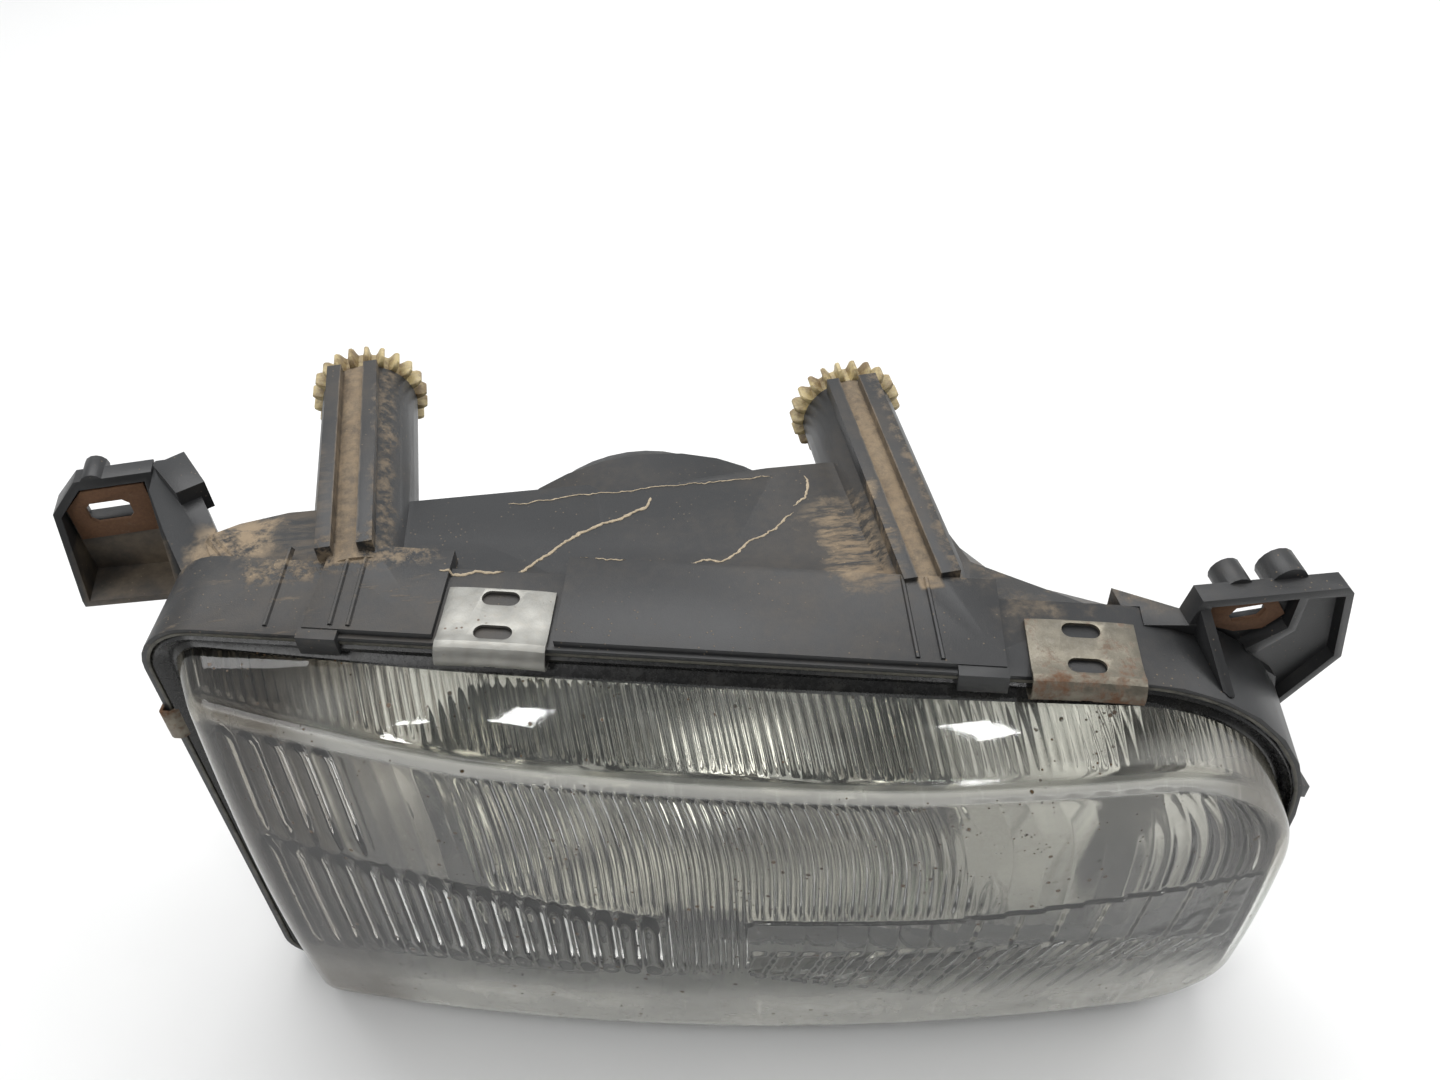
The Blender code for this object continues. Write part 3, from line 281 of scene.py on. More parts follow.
# ---------------------------------------------------------------- node materials
class Look:
    """A material, or the world, and short calls that add nodes to it."""

    def __init__(self, owner, shader="Principled BSDF", coordinates="Object"):
        owner.use_nodes = True
        self.tree = owner.node_tree
        self.shader = self.tree.nodes[shader]
        self.place = self.node("ShaderNodeTexCoord").outputs[coordinates]

    def node(self, kind, values=None, **settings):
        """A new node with its settings, and with values or links on its inputs."""
        made = self.tree.nodes.new(kind)
        for key, value in settings.items():
            setattr(made, key, value)
        for key, value in (values or {}).items():
            self.feed(made.inputs[key], value)
        return made

    def feed(self, socket, value):
        if hasattr(value, "is_output"):
            self.tree.links.new(value, socket)
        else:
            socket.default_value = value

    def set(self, **values):
        """Values or links for the shader's inputs."""
        for key, value in values.items():
            self.feed(self.shader.inputs[key.replace("_", " ")], value)

    def math(self, operation, first, second=0.0, clamp=False):
        made = self.node("ShaderNodeMath", {0: first, 1: second}, operation=operation, use_clamp=clamp)
        return made.outputs[0]

    def times(self, first, second):
        return self.math("MULTIPLY", first, second)

    def plus(self, first, second, clamp=False):
        return self.math("ADD", first, second, clamp)

    def most(self, *values):
        found = values[0]
        for value in values[1:]:
            found = self.math("MAXIMUM", found, value)
        return found

    def step(self, value, low, high, start=0.0, end=1.0, kind="SMOOTHSTEP"):
        """A step of value from low to high."""
        limits = {"Value": value, "From Min": low, "From Max": high, "To Min": start, "To Max": end}
        return self.node("ShaderNodeMapRange", limits, interpolation_type=kind).outputs["Result"]

    def stretched(self, scale, turn=(0.0, 0.0, 0.0)):
        """Coordinates for a texture that is drawn out along some axes."""
        values = {"Vector": self.place, "Scale": scale, "Rotation": turn}
        return self.node("ShaderNodeMapping", values).outputs["Vector"]

    def noise(self, scale, detail=4.0, rough=0.6, vector=None, distort=0.0):
        values = {"Scale": scale, "Detail": detail, "Roughness": rough, "Distortion": distort}
        values["Vector"] = vector or self.place
        return self.node("ShaderNodeTexNoise", values).outputs["Fac"]

    def dots(self, scale, edge, core):
        """Round dots, one in each cell."""
        cells = self.node("ShaderNodeTexVoronoi", {"Vector": self.place, "Scale": scale})
        return self.step(cells.outputs["Distance"], edge, core)

    def mix(self, factor, first, second):
        """A blend of two colours."""
        colours = [value if hasattr(value, "is_output") else (*value, 1.0) for value in (first, second)]
        values = {"Factor": factor, 6: colours[0], 7: colours[1]}
        return self.node("ShaderNodeMix", values, data_type="RGBA").outputs[2]

    def parts(self, vector):
        """The three parts of a vector."""
        return self.node("ShaderNodeSeparateXYZ", {0: vector}).outputs

    def facing(self, axis):
        """How much the surface faces along one axis."""
        return self.parts(self.node("ShaderNodeNewGeometry").outputs["Normal"])[axis]

    def inside(self, low, high, soft, ragged):
        """1 inside a box in the lamp's own frame, with soft and ragged sides. None leaves a side open."""
        axes = self.parts(self.place)
        wobble = self.times(self.plus(self.noise(90.0, 5.0, 0.7), -0.5), ragged)
        found = None
        for k in range(3):
            value = self.plus(axes[k], wobble)
            for edge, sign in ((low[k], 1), (high[k], -1)):
                if edge is None:
                    continue
                place = edge + SHIFT[k]
                part = self.step(value, place - soft * sign, place + soft * sign)
                found = part if found is None else self.times(found, part)
        return found

    def bump(self, height, strength, distance):
        values = {"Height": height, "Strength": strength, "Distance": distance}
        return self.node("ShaderNodeBump", values).outputs["Normal"]


def new_look(name):
    """A new material and its helper."""
    material = bpy.data.materials.new(name)
    return material, Look(material)


GREY_DUST = (0.20, 0.19, 0.17)


def black_plastic():
    """Weathered black moulding: fine grain, tan dust where dirt settles, brushed smears and dried mud."""
    material, look = new_look("black_plastic_weathered")
    broad = look.noise(14.0, 5.0, 0.62)
    fine = look.noise(260.0, 6.0, 0.7)
    streaks = look.noise(1.0, 5.0, 0.7, look.stretched((60.0, 260.0, 200.0), (0.0, 0.0, math.radians(-38))))
    grain = look.noise(2600.0, 2.0, 0.5)
    up = look.step(look.facing("Z"), 0.1, 0.9)
    film = look.times(look.step(look.plus(broad, look.times(fine, 0.35)), 0.58, 0.95), look.times(up, 0.13))
    worn = look.step(look.plus(fine, look.times(broad, 0.5)), 0.45, 0.95, 0.30, 0.95)
    patches = []

    def patch(low, high, soft, ragged, cover):
        """Dirt inside a box."""
        patches.append(look.times(look.inside(low, high, soft, ragged), cover))

    def blotches(scale, rough, low, high, start, end, detail=6.0):
        return look.step(look.noise(scale, detail, rough), low, high, start, end)

    for side, (tube_x, tube_z, front, rear) in TUBES.items():
        first, last = CHANNELS[side]
        low, high = (tube_x + first, front - 0.001, tube_z + 0.008), (tube_x + last, rear, None)
        patch(low, high, 0.0008, 0.0016, worn)
        low, high = (tube_x + 0.0068, front, tube_z + 0.004), (tube_x + 0.0120, rear, None)
        patch(low, high, 0.0022, 0.0100, look.step(fine, 0.40, 0.66, 0.0, 0.55))
        low, high = (tube_x - 0.0290, front + 0.006, tube_z - 0.010), (tube_x - 0.0085, front + 0.052, None)
        share = 0.85 if side == "right" else 0.25
        patch(low, high, 0.0060, 0.0300, look.step(streaks, 0.36, 0.60, 0.0, share))
    smears = look.step(streaks, 0.54, 0.76, 0.0, 0.45)
    patch((-0.185, -0.046, 0.195), (-0.070, -0.014, None), 0.010, 0.020, smears)
    line = look.step(fine, 0.42, 0.62, 0.0, 0.65)
    patch((-0.135, -0.022, 0.195), (-0.075, -0.010, None), 0.003, 0.010, line)
    arm = blotches(48.0, 0.75, 0.42, 0.56, 0.0, 0.95)
    patch((-0.154, -0.006, 0.180), (-0.128, 0.016, None), 0.005, 0.022, arm)
    pocket = blotches(30.0, 0.7, 0.30, 0.75, 0.05, 0.55, 5.0)
    patch((-0.2095, 0.030, 0.150), (-0.1765, 0.0515, 0.178), 0.0012, 0.006, pocket)
    shoulder = blotches(34.0, 0.72, 0.40, 0.66, 0.0, 0.60)
    patch((0.098, -0.076, 0.120), (0.150, -0.010, None), 0.008, 0.030, shoulder)
    dust = look.most(film, *patches)
    specks = look.dots(420.0, 0.15, 0.08)
    speck_places = look.step(look.noise(36.0, 3.0, 0.6), 0.46, 0.60)
    dust = look.math("MINIMUM", look.plus(dust, look.times(look.times(specks, speck_places), 0.45)), 1.0)
    scuff = look.step(look.noise(1.0, 6.0, 0.75, look.stretched((900.0, 60.0, 300.0))), 0.66, 0.74, 0.0, 0.5)
    plastic = look.mix(broad, (0.0150, 0.0154, 0.0162), (0.0265, 0.0268, 0.0275))
    plastic = look.mix(look.times(scuff, 0.4), plastic, (0.100, 0.100, 0.100))
    tan = look.mix(look.noise(60.0, 5.0, 0.7), (0.190, 0.135, 0.085), (0.340, 0.265, 0.175))
    relief = look.plus(look.times(grain, 0.25), look.times(dust, look.plus(fine, 0.6)))
    look.set(
        Base_Color=look.mix(dust, plastic, tan),
        Roughness=look.plus(look.step(broad, 0.2, 0.8, 0.34, 0.50), look.times(dust, 0.40), True),
        Normal=look.bump(relief, 0.35, 0.0006),
        Specular_IOR_Level=0.40,
    )
    return material


def lens_glass():
    """Pressed soda glass: faint green, clouded by dust above, brown specks and rain marks; with a painted
    highlight on the ridge, painted light on the lower band and painted shade on the faces that look down and
    sideways.
    """
    material, look = new_look("pressed_glass")
    up = look.facing("Z")
    haze_and_painted_light = look.step(look.noise(26.0, 5.0, 0.7), 0.30, 0.80, 0.06, 0.22)
    haze_and_painted_light = look.times(look.step(up, 0.35, 0.70), haze_and_painted_light)
    film = look.step(look.noise(9.0, 6.0, 0.7), 0.35, 0.85, 0.0, 0.05)
    drips = look.noise(1.0, 5.0, 0.7, look.stretched((240.0, 60.0, 14.0)))
    drips = look.times(look.step(drips, 0.55, 0.85), 0.12)
    dots = look.dots(150.0, 0.16, 0.08)
    dots = look.times(dots, look.step(look.noise(60.0, 3.0, 0.6), 0.50, 0.60))
    small = look.dots(420.0, 0.20, 0.12)
    small = look.times(small, look.step(look.noise(90.0, 3.0, 0.6), 0.56, 0.62, 0.0, 0.8))
    specks = look.most(dots, small)
    x, _, z = look.parts(look.place)
    # painted highlight: a pale band on the ridge's sloping faces, standing in for the light that the rounded
    # ridge catches
    ridge = look.times(look.times(look.step(up, 0.12, 0.34), look.step(up, 0.84, 0.66)), 0.42)
    # painted light: the lower band is made paler and cloudier to stand in for its brightness
    low = look.step(look.noise(18.0, 5.0, 0.7), 0.25, 0.75, 0.26, 0.50)
    low = look.times(look.step(z, 0.066, 0.034), low)
    # the dust, the painted highlight and the painted light together pale the colour and cut the transmission
    haze_and_painted_light = look.most(haze_and_painted_light, ridge, low)
    cover = look.math("MINIMUM", look.plus(look.plus(haze_and_painted_light, film), drips), 0.6)
    dirt = (0.10, 0.060, 0.030)
    clear = look.mix(look.step(cover, 0.0, 0.6), (0.970, 0.970, 0.935), (0.90, 0.885, 0.82))
    # painted shade: faces that look down and faces that look sideways are darkened to a deep green, for the
    # dark edges of the thick glass
    under = look.step(look.times(up, -1.0), 0.45, 0.85)
    sides = look.step(look.math("ABSOLUTE", look.facing("X")), 0.35, 0.85)
    clear = look.mix(look.most(under, sides), clear, (0.12, 0.145, 0.115))
    outer_stain = look.times(look.step(x, -0.110, -0.134), 0.85)
    inner_stain = look.times(look.times(look.step(x, 0.146, 0.166), look.step(z, 0.085, 0.125)), 0.65)
    uneven = look.step(look.noise(30.0, 4.0, 0.7), 0.25, 0.60, 0.45, 1.0)
    stain = look.times(look.most(outer_stain, inner_stain), uneven)
    clear = look.mix(stain, clear, (0.27, 0.235, 0.19))
    total = look.most(cover, specks)
    look.set(
        Base_Color=look.mix(look.step(specks, 0.1, 0.6), clear, dirt),
        Roughness=look.plus(look.times(total, 0.30), 0.012, True),
        Normal=look.bump(look.noise(55.0, 3.0, 0.5), 0.06, 0.0012),
        Transmission_Weight=look.step(total, 0.0, 1.0, 1.0, 0.10),
        IOR=1.50,
    )
    return material


def mirror_coat():
    """Old aluminised lacquer: dark upright bands painted in as reflections, dusty, and burnt brown towards
    its ends.
    """
    material, look = new_look("aluminised_reflector")
    broad = look.noise(16.0, 5.0, 0.65)
    fine = look.noise(300.0, 4.0, 0.7)
    dust = look.times(look.step(broad, 0.35, 0.85), 0.35)
    specks = look.times(look.dots(300.0, 0.12, 0.06), look.step(broad, 0.48, 0.56))
    dust = look.most(dust, look.times(specks, 0.8))
    x = look.parts(look.place)[0]
    # painted reflection: dark upright bands in the mirror's own colour stand in for the dark things it
    # reflects
    painted_reflection_bands = look.noise(1.0, 2.0, 0.5, look.stretched((85.0, 30.0, 5.0)), 0.3)
    silver_and_painted_reflections = look.mix(look.step(painted_reflection_bands, 0.41, 0.52), (0.030, 0.028, 0.023), (0.93, 0.92, 0.87))
    outer = look.step(x, -0.100, -0.128)
    inner = look.times(look.step(x, 0.125, 0.165), 0.45)
    worn = look.times(look.most(outer, inner), look.step(broad, 0.25, 0.60, 0.55, 1.0))
    silver_and_painted_reflections = look.mix(worn, silver_and_painted_reflections, (0.055, 0.046, 0.036))
    look.set(
        Base_Color=look.mix(dust, silver_and_painted_reflections, (0.30, 0.27, 0.22)),
        Metallic=look.plus(1.0, look.times(dust, -0.75)),
        Roughness=look.plus(look.step(fine, 0.3, 0.8, 0.07, 0.15), look.times(dust, 0.45), True),
        Normal=look.bump(look.noise(24.0, 2.0, 0.5), 0.10, 0.0015),
    )
    return material


def zinc(name, rust_amount, base=(0.34, 0.335, 0.31)):
    """Plated sheet: dull spangle, stains, and rust in blotches and pits."""
    material, look = new_look(name)
    broad = look.noise(40.0, 6.0, 0.7)
    fine = look.noise(420.0, 5.0, 0.7)
    spangle = look.dots(190.0, 0.0, 0.8)
    rust = look.step(look.plus(broad, look.times(fine, 0.45)), 1.02 - rust_amount, 1.22 - rust_amount)
    pits = look.dots(300.0, 0.16, 0.05)
    pits = look.times(pits, look.step(broad, 0.46, 0.60, 0.0, 0.8))
    rust = look.most(rust, pits)
    metal = look.mix(spangle, base, tuple(0.78 * c for c in base))
    metal = look.mix(look.step(fine, 0.4, 0.8, 0.0, 0.5), metal, (0.30, 0.28, 0.24))
    brown = look.mix(look.noise(900.0, 4.0, 0.7), (0.060, 0.030, 0.016), (0.185, 0.090, 0.042))
    look.set(
        Base_Color=look.mix(rust, metal, brown),
        Metallic=look.plus(0.80, look.times(rust, -0.78)),
        Roughness=look.plus(look.step(broad, 0.2, 0.8, 0.38, 0.54), look.times(rust, 0.40), True),
        Normal=look.bump(look.plus(fine, look.times(rust, 0.8)), 0.30, 0.0004),
    )
    return material


def nylon():
    """Yellowed nylon with blotches of brown dirt."""
    material, look = new_look("yellowed_nylon")
    broad = look.noise(70.0, 5.0, 0.7)
    fine = look.noise(500.0, 4.0, 0.7)
    dirt = look.step(look.plus(broad, look.times(fine, 0.3)), 0.52, 0.80, 0.10, 0.90)
    base = look.mix(broad, (0.46, 0.36, 0.165), (0.62, 0.53, 0.31))
    look.set(
        Base_Color=look.mix(dirt, base, (0.15, 0.095, 0.045)),
        Roughness=look.step(broad, 0.2, 0.8, 0.38, 0.62),
        Normal=look.bump(fine, 0.20, 0.0004),
        Subsurface_Weight=0.15,
        Subsurface_Radius=(0.004, 0.003, 0.001),
        Subsurface_Scale=0.4,
    )
    return material


def rubber(name="black_rubber", base=(0.014, 0.014, 0.014), dust_amount=0.30):
    """Dull black rubber or moulding under a film of grey dust."""
    material, look = new_look(name)
    broad = look.noise(30.0, 5.0, 0.65)
    fine = look.noise(700.0, 4.0, 0.6)
    dust = look.times(look.step(broad, 0.40, 0.85), dust_amount)
    look.set(
        Base_Color=look.mix(dust, base, GREY_DUST),
        Roughness=look.step(broad, 0.2, 0.8, 0.58, 0.82),
        Normal=look.bump(fine, 0.25, 0.0004),
    )
    return material


def metal(name, base, rough, stain=(0.12, 0.09, 0.05), bare=True):
    """Bare metal, or a glossy black skin, with dull stains."""
    material, look = new_look(name)
    broad = look.noise(80.0, 5.0, 0.7)
    fine = look.noise(600.0, 4.0, 0.7)
    dull = look.step(broad, 0.45, 0.80, 0.0, 0.65)
    grade = look.step(fine, 0.3, 0.8, rough - 0.06, rough + 0.08)
    look.set(
        Base_Color=look.mix(dull, base, stain),
        Roughness=look.plus(grade, look.times(dull, 0.25), True),
        Normal=look.bump(fine, 0.12, 0.0003),
    )
    if bare:
        look.set(Metallic=look.step(dull, 0.0, 1.0, 1.0, 0.5))
    return material


def bulb_quartz():
    """Clear bulb glass, a little smoked."""
    material, look = new_look("bulb_quartz")
    look.set(
        Base_Color=look.mix(look.noise(60.0), (0.97, 0.97, 0.98), (0.90, 0.91, 0.93)),
        Roughness=look.step(look.noise(200.0), 0.3, 0.9, 0.01, 0.05),
        Transmission_Weight=1.0,
        IOR=1.46,
    )
    return material


def mud():
    """Dried tan mud."""
    material, look = new_look("dried_mud")
    fine = look.noise(420.0, 6.0, 0.75)
    look.set(
        Base_Color=look.mix(fine, (0.30, 0.23, 0.15), (0.52, 0.44, 0.32)),
        Roughness=look.step(fine, 0.2, 0.8, 0.85, 1.0),
        Normal=look.bump(fine, 0.7, 0.0006),
    )
    return material


def pale_sealant():
    """Old grey-olive sealant."""
    material, look = new_look("old_sealant")
    fine = look.noise(160.0, 6.0, 0.7)
    look.set(
        Base_Color=look.mix(look.step(fine, 0.4, 0.75), (0.085, 0.080, 0.062), (0.030, 0.029, 0.026)),
        Roughness=look.step(fine, 0.2, 0.8, 0.45, 0.75),
        Normal=look.bump(fine, 0.4, 0.0005),
    )
    return material


PLASTIC = black_plastic()
GLASS_LOOK = lens_glass()
MIRROR = mirror_coat()
CLEAN_ZINC = zinc("zinc_sheet", 0.16)
RUSTY_ZINC = zinc("rusting_sheet", 0.36, (0.21, 0.190, 0.150))
RUST_PLATE = zinc("rusted_plate", 0.62, (0.26, 0.19, 0.13))
NYLON = nylon()
RUBBER = rubber()
SEAL = rubber("lens_seal", (0.020, 0.020, 0.018), 0.20)
BRASS = metal("brass_blades", (0.66, 0.50, 0.24), 0.32)
STEEL = metal("plain_steel", (0.60, 0.59, 0.57), 0.34)
GREY = rubber("grey_moulding", (0.115, 0.120, 0.125), 0.35)
QUARTZ = bulb_quartz()
MUD = mud()
SEALANT = pale_sealant()
GLOSSY_BLACK = metal("glossy_black_seal", (0.012, 0.012, 0.012), 0.26, (0.045, 0.042, 0.034), bare=False)


# ---------------------------------------------------------------- lens
def scallop(phase):
    """A flute's section across one pitch: 1 on its crest and 0 in the valleys."""
    across = 2 * (phase % 1.0) - 1
    return 1 - across**2


# The lines that part the zones of the optics, as (x, height) along each
TOP_LINE = ((-0.150, 0.186), (-0.075, 0.174), (0.059, 0.163), (0.140, 0.161), (0.183, 0.140))
FIRST_LINE = (
    (-0.155, 0.136),
    (-0.118, 0.126),
    (-0.054, 0.109),
    (-0.010, 0.1005),
    (0.072, 0.0985),
    (0.183, 0.110),
)
SECOND_LINE = (
    (-0.155, 0.059),
    (-0.117, 0.063),
    (-0.019, 0.062),
    (0.009, 0.079),
    (0.070, 0.078),
    (0.120, 0.077),
    (0.183, 0.066),
)
WEDGE_LINE = ((0.007, 0.063), (0.053, 0.049), (0.080, 0.038), (0.154, 0.010))
BUNDLE = (-0.021, 0.0062)  # the upright flutes that run on down, from x to x
BUNDLE_FOOT = 0.0625
OUTER_END = -0.109  # the bold flutes lie beyond this x
CELLS_END = 0.077


def line_height(line, x):
    """The height of a line at each x."""
    return np.interp(x, [point[0] for point in line], [point[1] for point in line])


def ended(depth, shape, *gaps):
    """Flutes with round ends: each gap is (distance from the end, length of the end)."""
    loss = sum(depth * (1 - np.clip(gap / length, 0, 1)) ** 2 for gap, length in gaps)
    return np.maximum(depth * shape - loss, 0)


def fluting(x, z, column):
    """How far the inside of the glass stands in from its smooth skin, for each zone of the optics."""
    top = line_height(TOP_LINE, x)
    first = line_height(FIRST_LINE, x)
    second = line_height(SECOND_LINE, x)
    upper = z > first
    middle = (z <= first) & (z > second)
    height = np.zeros_like(x)
    # the main upright flutes, parted from the plain areas beside them by slanting borders
    bundle = (x > BUNDLE[0]) & (x < BUNDLE[1])
    floor = np.where(bundle, BUNDLE_FOOT, first)
    main = ended(0.00075, scallop(column / 6), (z - floor, 0.008), (top - z, 0.004))
    left_border = -0.0770 + (z - 0.13) * 0.04
    right_border = 0.0600 + (0.164 - z) * 0.40
    main -= 0.00085 * np.clip((left_border + 0.009 - x) / 0.018, 0, 1)
    main -= 0.00085 * np.clip((x - right_border + 0.009) / 0.018, 0, 1)
    height = np.where((z > floor), np.maximum(main, 0), height)
    # outer end, with bold flutes down through both rows
    bold = ended(0.0016, scallop(column / 11), (z - first, 0.012), (top - z, 0.006))
    bold *= np.clip((OUTER_END - x) / 0.004, 0, 1)
    height = np.where(upper & (x < OUTER_END), bold, height)
    soft = 0.00016 * scallop(column / 9)
    height = np.where(upper & (x >= OUTER_END) & (x < left_border - 0.004), soft, height)
    # inner end, with shallow flutes
    end = ended(0.00042, scallop(column / 9), (z - first, 0.004), (top - z, 0.006))
    end *= np.clip((x - 0.126) / 0.014, 0, 1)
    end = np.maximum(end, 0.00012 * scallop(column / 14))
    height = np.where(upper & (x > right_border + 0.010), end, height)
    # second row, outer part: wide flutes cupped at both ends
    cupped = ended(0.0014, scallop(column / 11), (first - z, 0.012), (z - second, 0.007))
    height = np.where(middle & (x < BUNDLE[0]), cupped + 0.0003, height)
    # second row, middle: a line of plain cells
    cells = 0.0009 + 0.0005 * scallop(column / 15)
    height = np.where(middle & (x >= BUNDLE[1]) & (x < CELLS_END), cells, height)
    # second row, inner part: broad prisms that lean a little
    lean = (x + 0.10 * (first - z)) / 0.0140
    height = np.where(middle & (x >= CELLS_END), 0.0005 + 0.0009 * (lean % 1.0), height)
    # the wedge of slanting louvres
    wedge = z > line_height(WEDGE_LINE, x)
    slant = 0.27 + 0.30 * np.clip(x / 0.15, 0, 1.4)
    louvre = ((x + slant * (second - z)) / 0.0083) % 1.0
    height = np.where((z <= second) & wedge & (x > BUNDLE[1]), 0.0003 + 0.0012 * louvre, height)
    # the plain band along the bottom, with faint draw marks
    plain = 0.00005 * scallop(column / 8)
    low = np.where(x > BUNDLE[1], ~wedge, z <= np.where(bundle, BUNDLE_FOOT, second))
    return np.where(low, plain, height)


def coons(ring, across, up):
    """Points inside a ring of four sides: bottom, inner end, top and outer end."""
    bottom = np.vstack([ring[:across], ring[across : across + 1]])
    end = np.vstack([ring[across : across + up], ring[across + up : across + up + 1]])
    top = np.vstack([ring[across + up : 2 * across + up], ring[2 * across + up : 2 * across + up + 1]])[::-1]
    start = np.vstack([ring[2 * across + up :], ring[:1]])[::-1]
    u = np.linspace(0, 1, across + 1)[None, :, None]
    v = np.linspace(0, 1, up + 1)[:, None, None]
    ruled = (1 - v) * bottom[None] + v * top[None] + (1 - u) * start[:, None] + u * end[:, None]
    corners = (1 - u) * (1 - v) * bottom[0] + u * (1 - v) * bottom[-1]
    corners = corners + (1 - u) * v * top[0] + u * v * top[-1]
    return ruled - corners


def patch_faces(across, up, ring_start, inner_start):
    """Quads of a patch whose edge points are a ring that already exists."""

    def index(i, j):
        if j == 0:
            return ring_start + i
        if i == across:
            return ring_start + across + j
        if j == up:
            return ring_start + across + up + (across - i)
        if i == 0:
            return ring_start + 2 * across + up + (up - j)
        return inner_start + (j - 1) * (across - 1) + (i - 1)

    quads = [(i, j) for j in range(up) for i in range(across)]
    return [(index(i, j), index(i + 1, j), index(i + 1, j + 1), index(i, j + 1)) for i, j in quads]


def zipped(a_start, a_counts, b_start, b_counts):
    """Triangles between two rings with different numbers of points on each side."""

    def places(counts):
        return [k + i / n for k, n in enumerate(counts) for i in range(n)] + [4.0]

    a, b = places(a_counts), places(b_counts)
    i = j = 0
    faces = []
    while i < len(a) - 1 or j < len(b) - 1:
        p, q = a_start + i % (len(a) - 1), b_start + j % (len(b) - 1)
        if j == len(b) - 1 or (i < len(a) - 1 and a[i + 1] <= b[j + 1]):
            faces.append((p, a_start + (i + 1) % (len(a) - 1), q))
            i += 1
        else:
            faces.append((p, b_start + (j + 1) % (len(b) - 1), q))
            j += 1
    return faces


def lens_skin(counts, wall_rows, inner):
    """Rings from the flange to the ridge and the edge of the face, on the glass's outside or inside."""
    depth = GLASS if inner else 0.0
    rings = []
    if inner:
        start = rim_ring(WALL_INSIDE, GLASS_BACK, counts)
    else:
        rings.append(rim_ring(GLASS_EDGE, GLASS_BACK, counts))
        rings.append(rim_ring(GLASS_EDGE, GLASS_STEP, counts))
        start = rim_ring(*WALL_FOOT, counts)
    offset = 0.0016 if inner else 0.0
    radius = RIDGE_RADIUS - offset
    edge = []
    for k in range(7):
        turn = math.radians(RIDGE_START + (90 - RIDGE_START) * k / 6)
        place = offset + radius * (1 - math.cos(turn))
        edge.append(face_ring(place, depth + radius * (1 - math.sin(turn)), counts))
    for k in range(wall_rows):
        share = k / wall_rows
        bulge = 0.0012 * math.sin(math.pi * share)
        ring = start * (1 - share) + edge[0] * share
        ring[:, 2] += bulge * np.clip((ring[:, 2] - 0.12) / 0.05, 0, 1)
        rings.append(ring)
    return rings + edge


def fluted_wall(rings, first, last):
    """Presses fine flutes into the top wall, from below the flange to just above the ridge."""
    count = len(rings[0])
    column = np.arange(count)
    for r in range(first, last):
        share = (r - first) / (last - first)
        ring = rings[r]
        ahead = np.roll(ring, -1, axis=0) - np.roll(ring, 1, axis=0)
        across = rings[r + 1] - rings[r - 1]
        normal = np.cross(ahead, across)
        normal /= np.linalg.norm(normal, axis=1)[:, None] + 1e-12
        centre = np.array((AXIS_X, 0.0, AXIS_Z))
        inward = np.sign(np.einsum("ij,ij->i", normal, centre - ring))[:, None]
        upper = np.clip((ring[:, 2] - 0.100) / 0.050, 0, 1)
        end = 1 - (1 - np.clip(min(share, 1 - share) / 0.10, 0, 1)) ** 2
        depth = WALL_FLUTE * upper * end * scallop(column / 5)
        rings[r] = ring + normal * inward * depth[:, None]
    return rings


def make_lens():
    """The glass: a smooth outside, and an inside pressed with the flutes."""
    fine = (COLUMNS, ROWS, COLUMNS, ROWS)
    across, up = OUTSIDE[:2]
    outer = lens_skin(OUTSIDE, 12, False)
    inner = lens_skin(fine, WALL_ROWS, True)
    inner = fluted_wall(inner, FIRST_FLUTED, WALL_ROWS)
    points = np.vstack(outer)
    faces = loft_faces(len(outer), len(outer[0]))
    face = coons(outer[-1], across, up)[1:-1, 1:-1].reshape(-1, 3)
    face[:, 1] = face_y(face[:, 0], face[:, 2])
    faces += patch_faces(across, up, (len(outer) - 1) * len(outer[0]), len(points))
    points = np.vstack([points, face])
    inner_start = len(points)
    faces += loft_faces(len(inner), len(inner[0]), inner_start)
    points = np.vstack([points, *inner])
    grid = coons(inner[-1], COLUMNS, ROWS)
    column = np.arange(COLUMNS + 1)[None, :] + np.zeros((ROWS + 1, 1))
    fade = np.minimum(np.minimum(column, COLUMNS - column), 6) / 6
    rise = fluting(grid[:, :, 0], grid[:, :, 2], column) * fade
    grid[:, :, 1] = face_y(grid[:, :, 0], grid[:, :, 2]) + GLASS + rise
    faces += patch_faces(COLUMNS, ROWS, inner_start + (len(inner) - 1) * len(inner[0]), len(points))
    points = np.vstack([points, grid[1:-1, 1:-1].reshape(-1, 3)])
    faces += zipped(0, OUTSIDE, inner_start, fine)
    piece("lens_fluted", points, faces, "lamp_body", GLASS_LOOK, ("lens_glass",), 80)


make_lens()


# ---------------------------------------------------------------- reflector
REFLECTOR_INSET = 0.0180  # inside the rim's outline
REFLECTOR_SETBACK = 0.0130  # behind the rim's front
BOWL_RADIUS = 0.095
BOWL_FOCUS = 0.0265
BOWL_VERTEX_Y = 0.057
BOWL_TOP = 0.166
BOWL_BOTTOM = 0.024
HOLE_RADIUS = 0.0185
SHEET = 0.0018
FLANGE = 0.0060  # the fold behind the reflector's outer edge, and the neck behind its hole
NECK = 0.0035


def around(ring_counts, distance):
    """The directions of the rim outline's points from the light axis."""
    ring = rim_ring(distance, 0.0, ring_counts)
    return np.arctan2(ring[:, 2] - AXIS_Z, ring[:, 0] - AXIS_X)


def bowl_reach(angle):
    """The bowl's radius in each direction, cut short above and below."""
    reach = np.full_like(angle, BOWL_RADIUS)
    up = np.sin(angle) > 1e-6
    down = np.sin(angle) < -1e-6
    reach[up] = np.minimum(reach[up], (BOWL_TOP - AXIS_Z) / np.sin(angle[up]))
    reach[down] = np.minimum(reach[down], (BOWL_BOTTOM - AXIS_Z) / np.sin(angle[down]))
    return reach


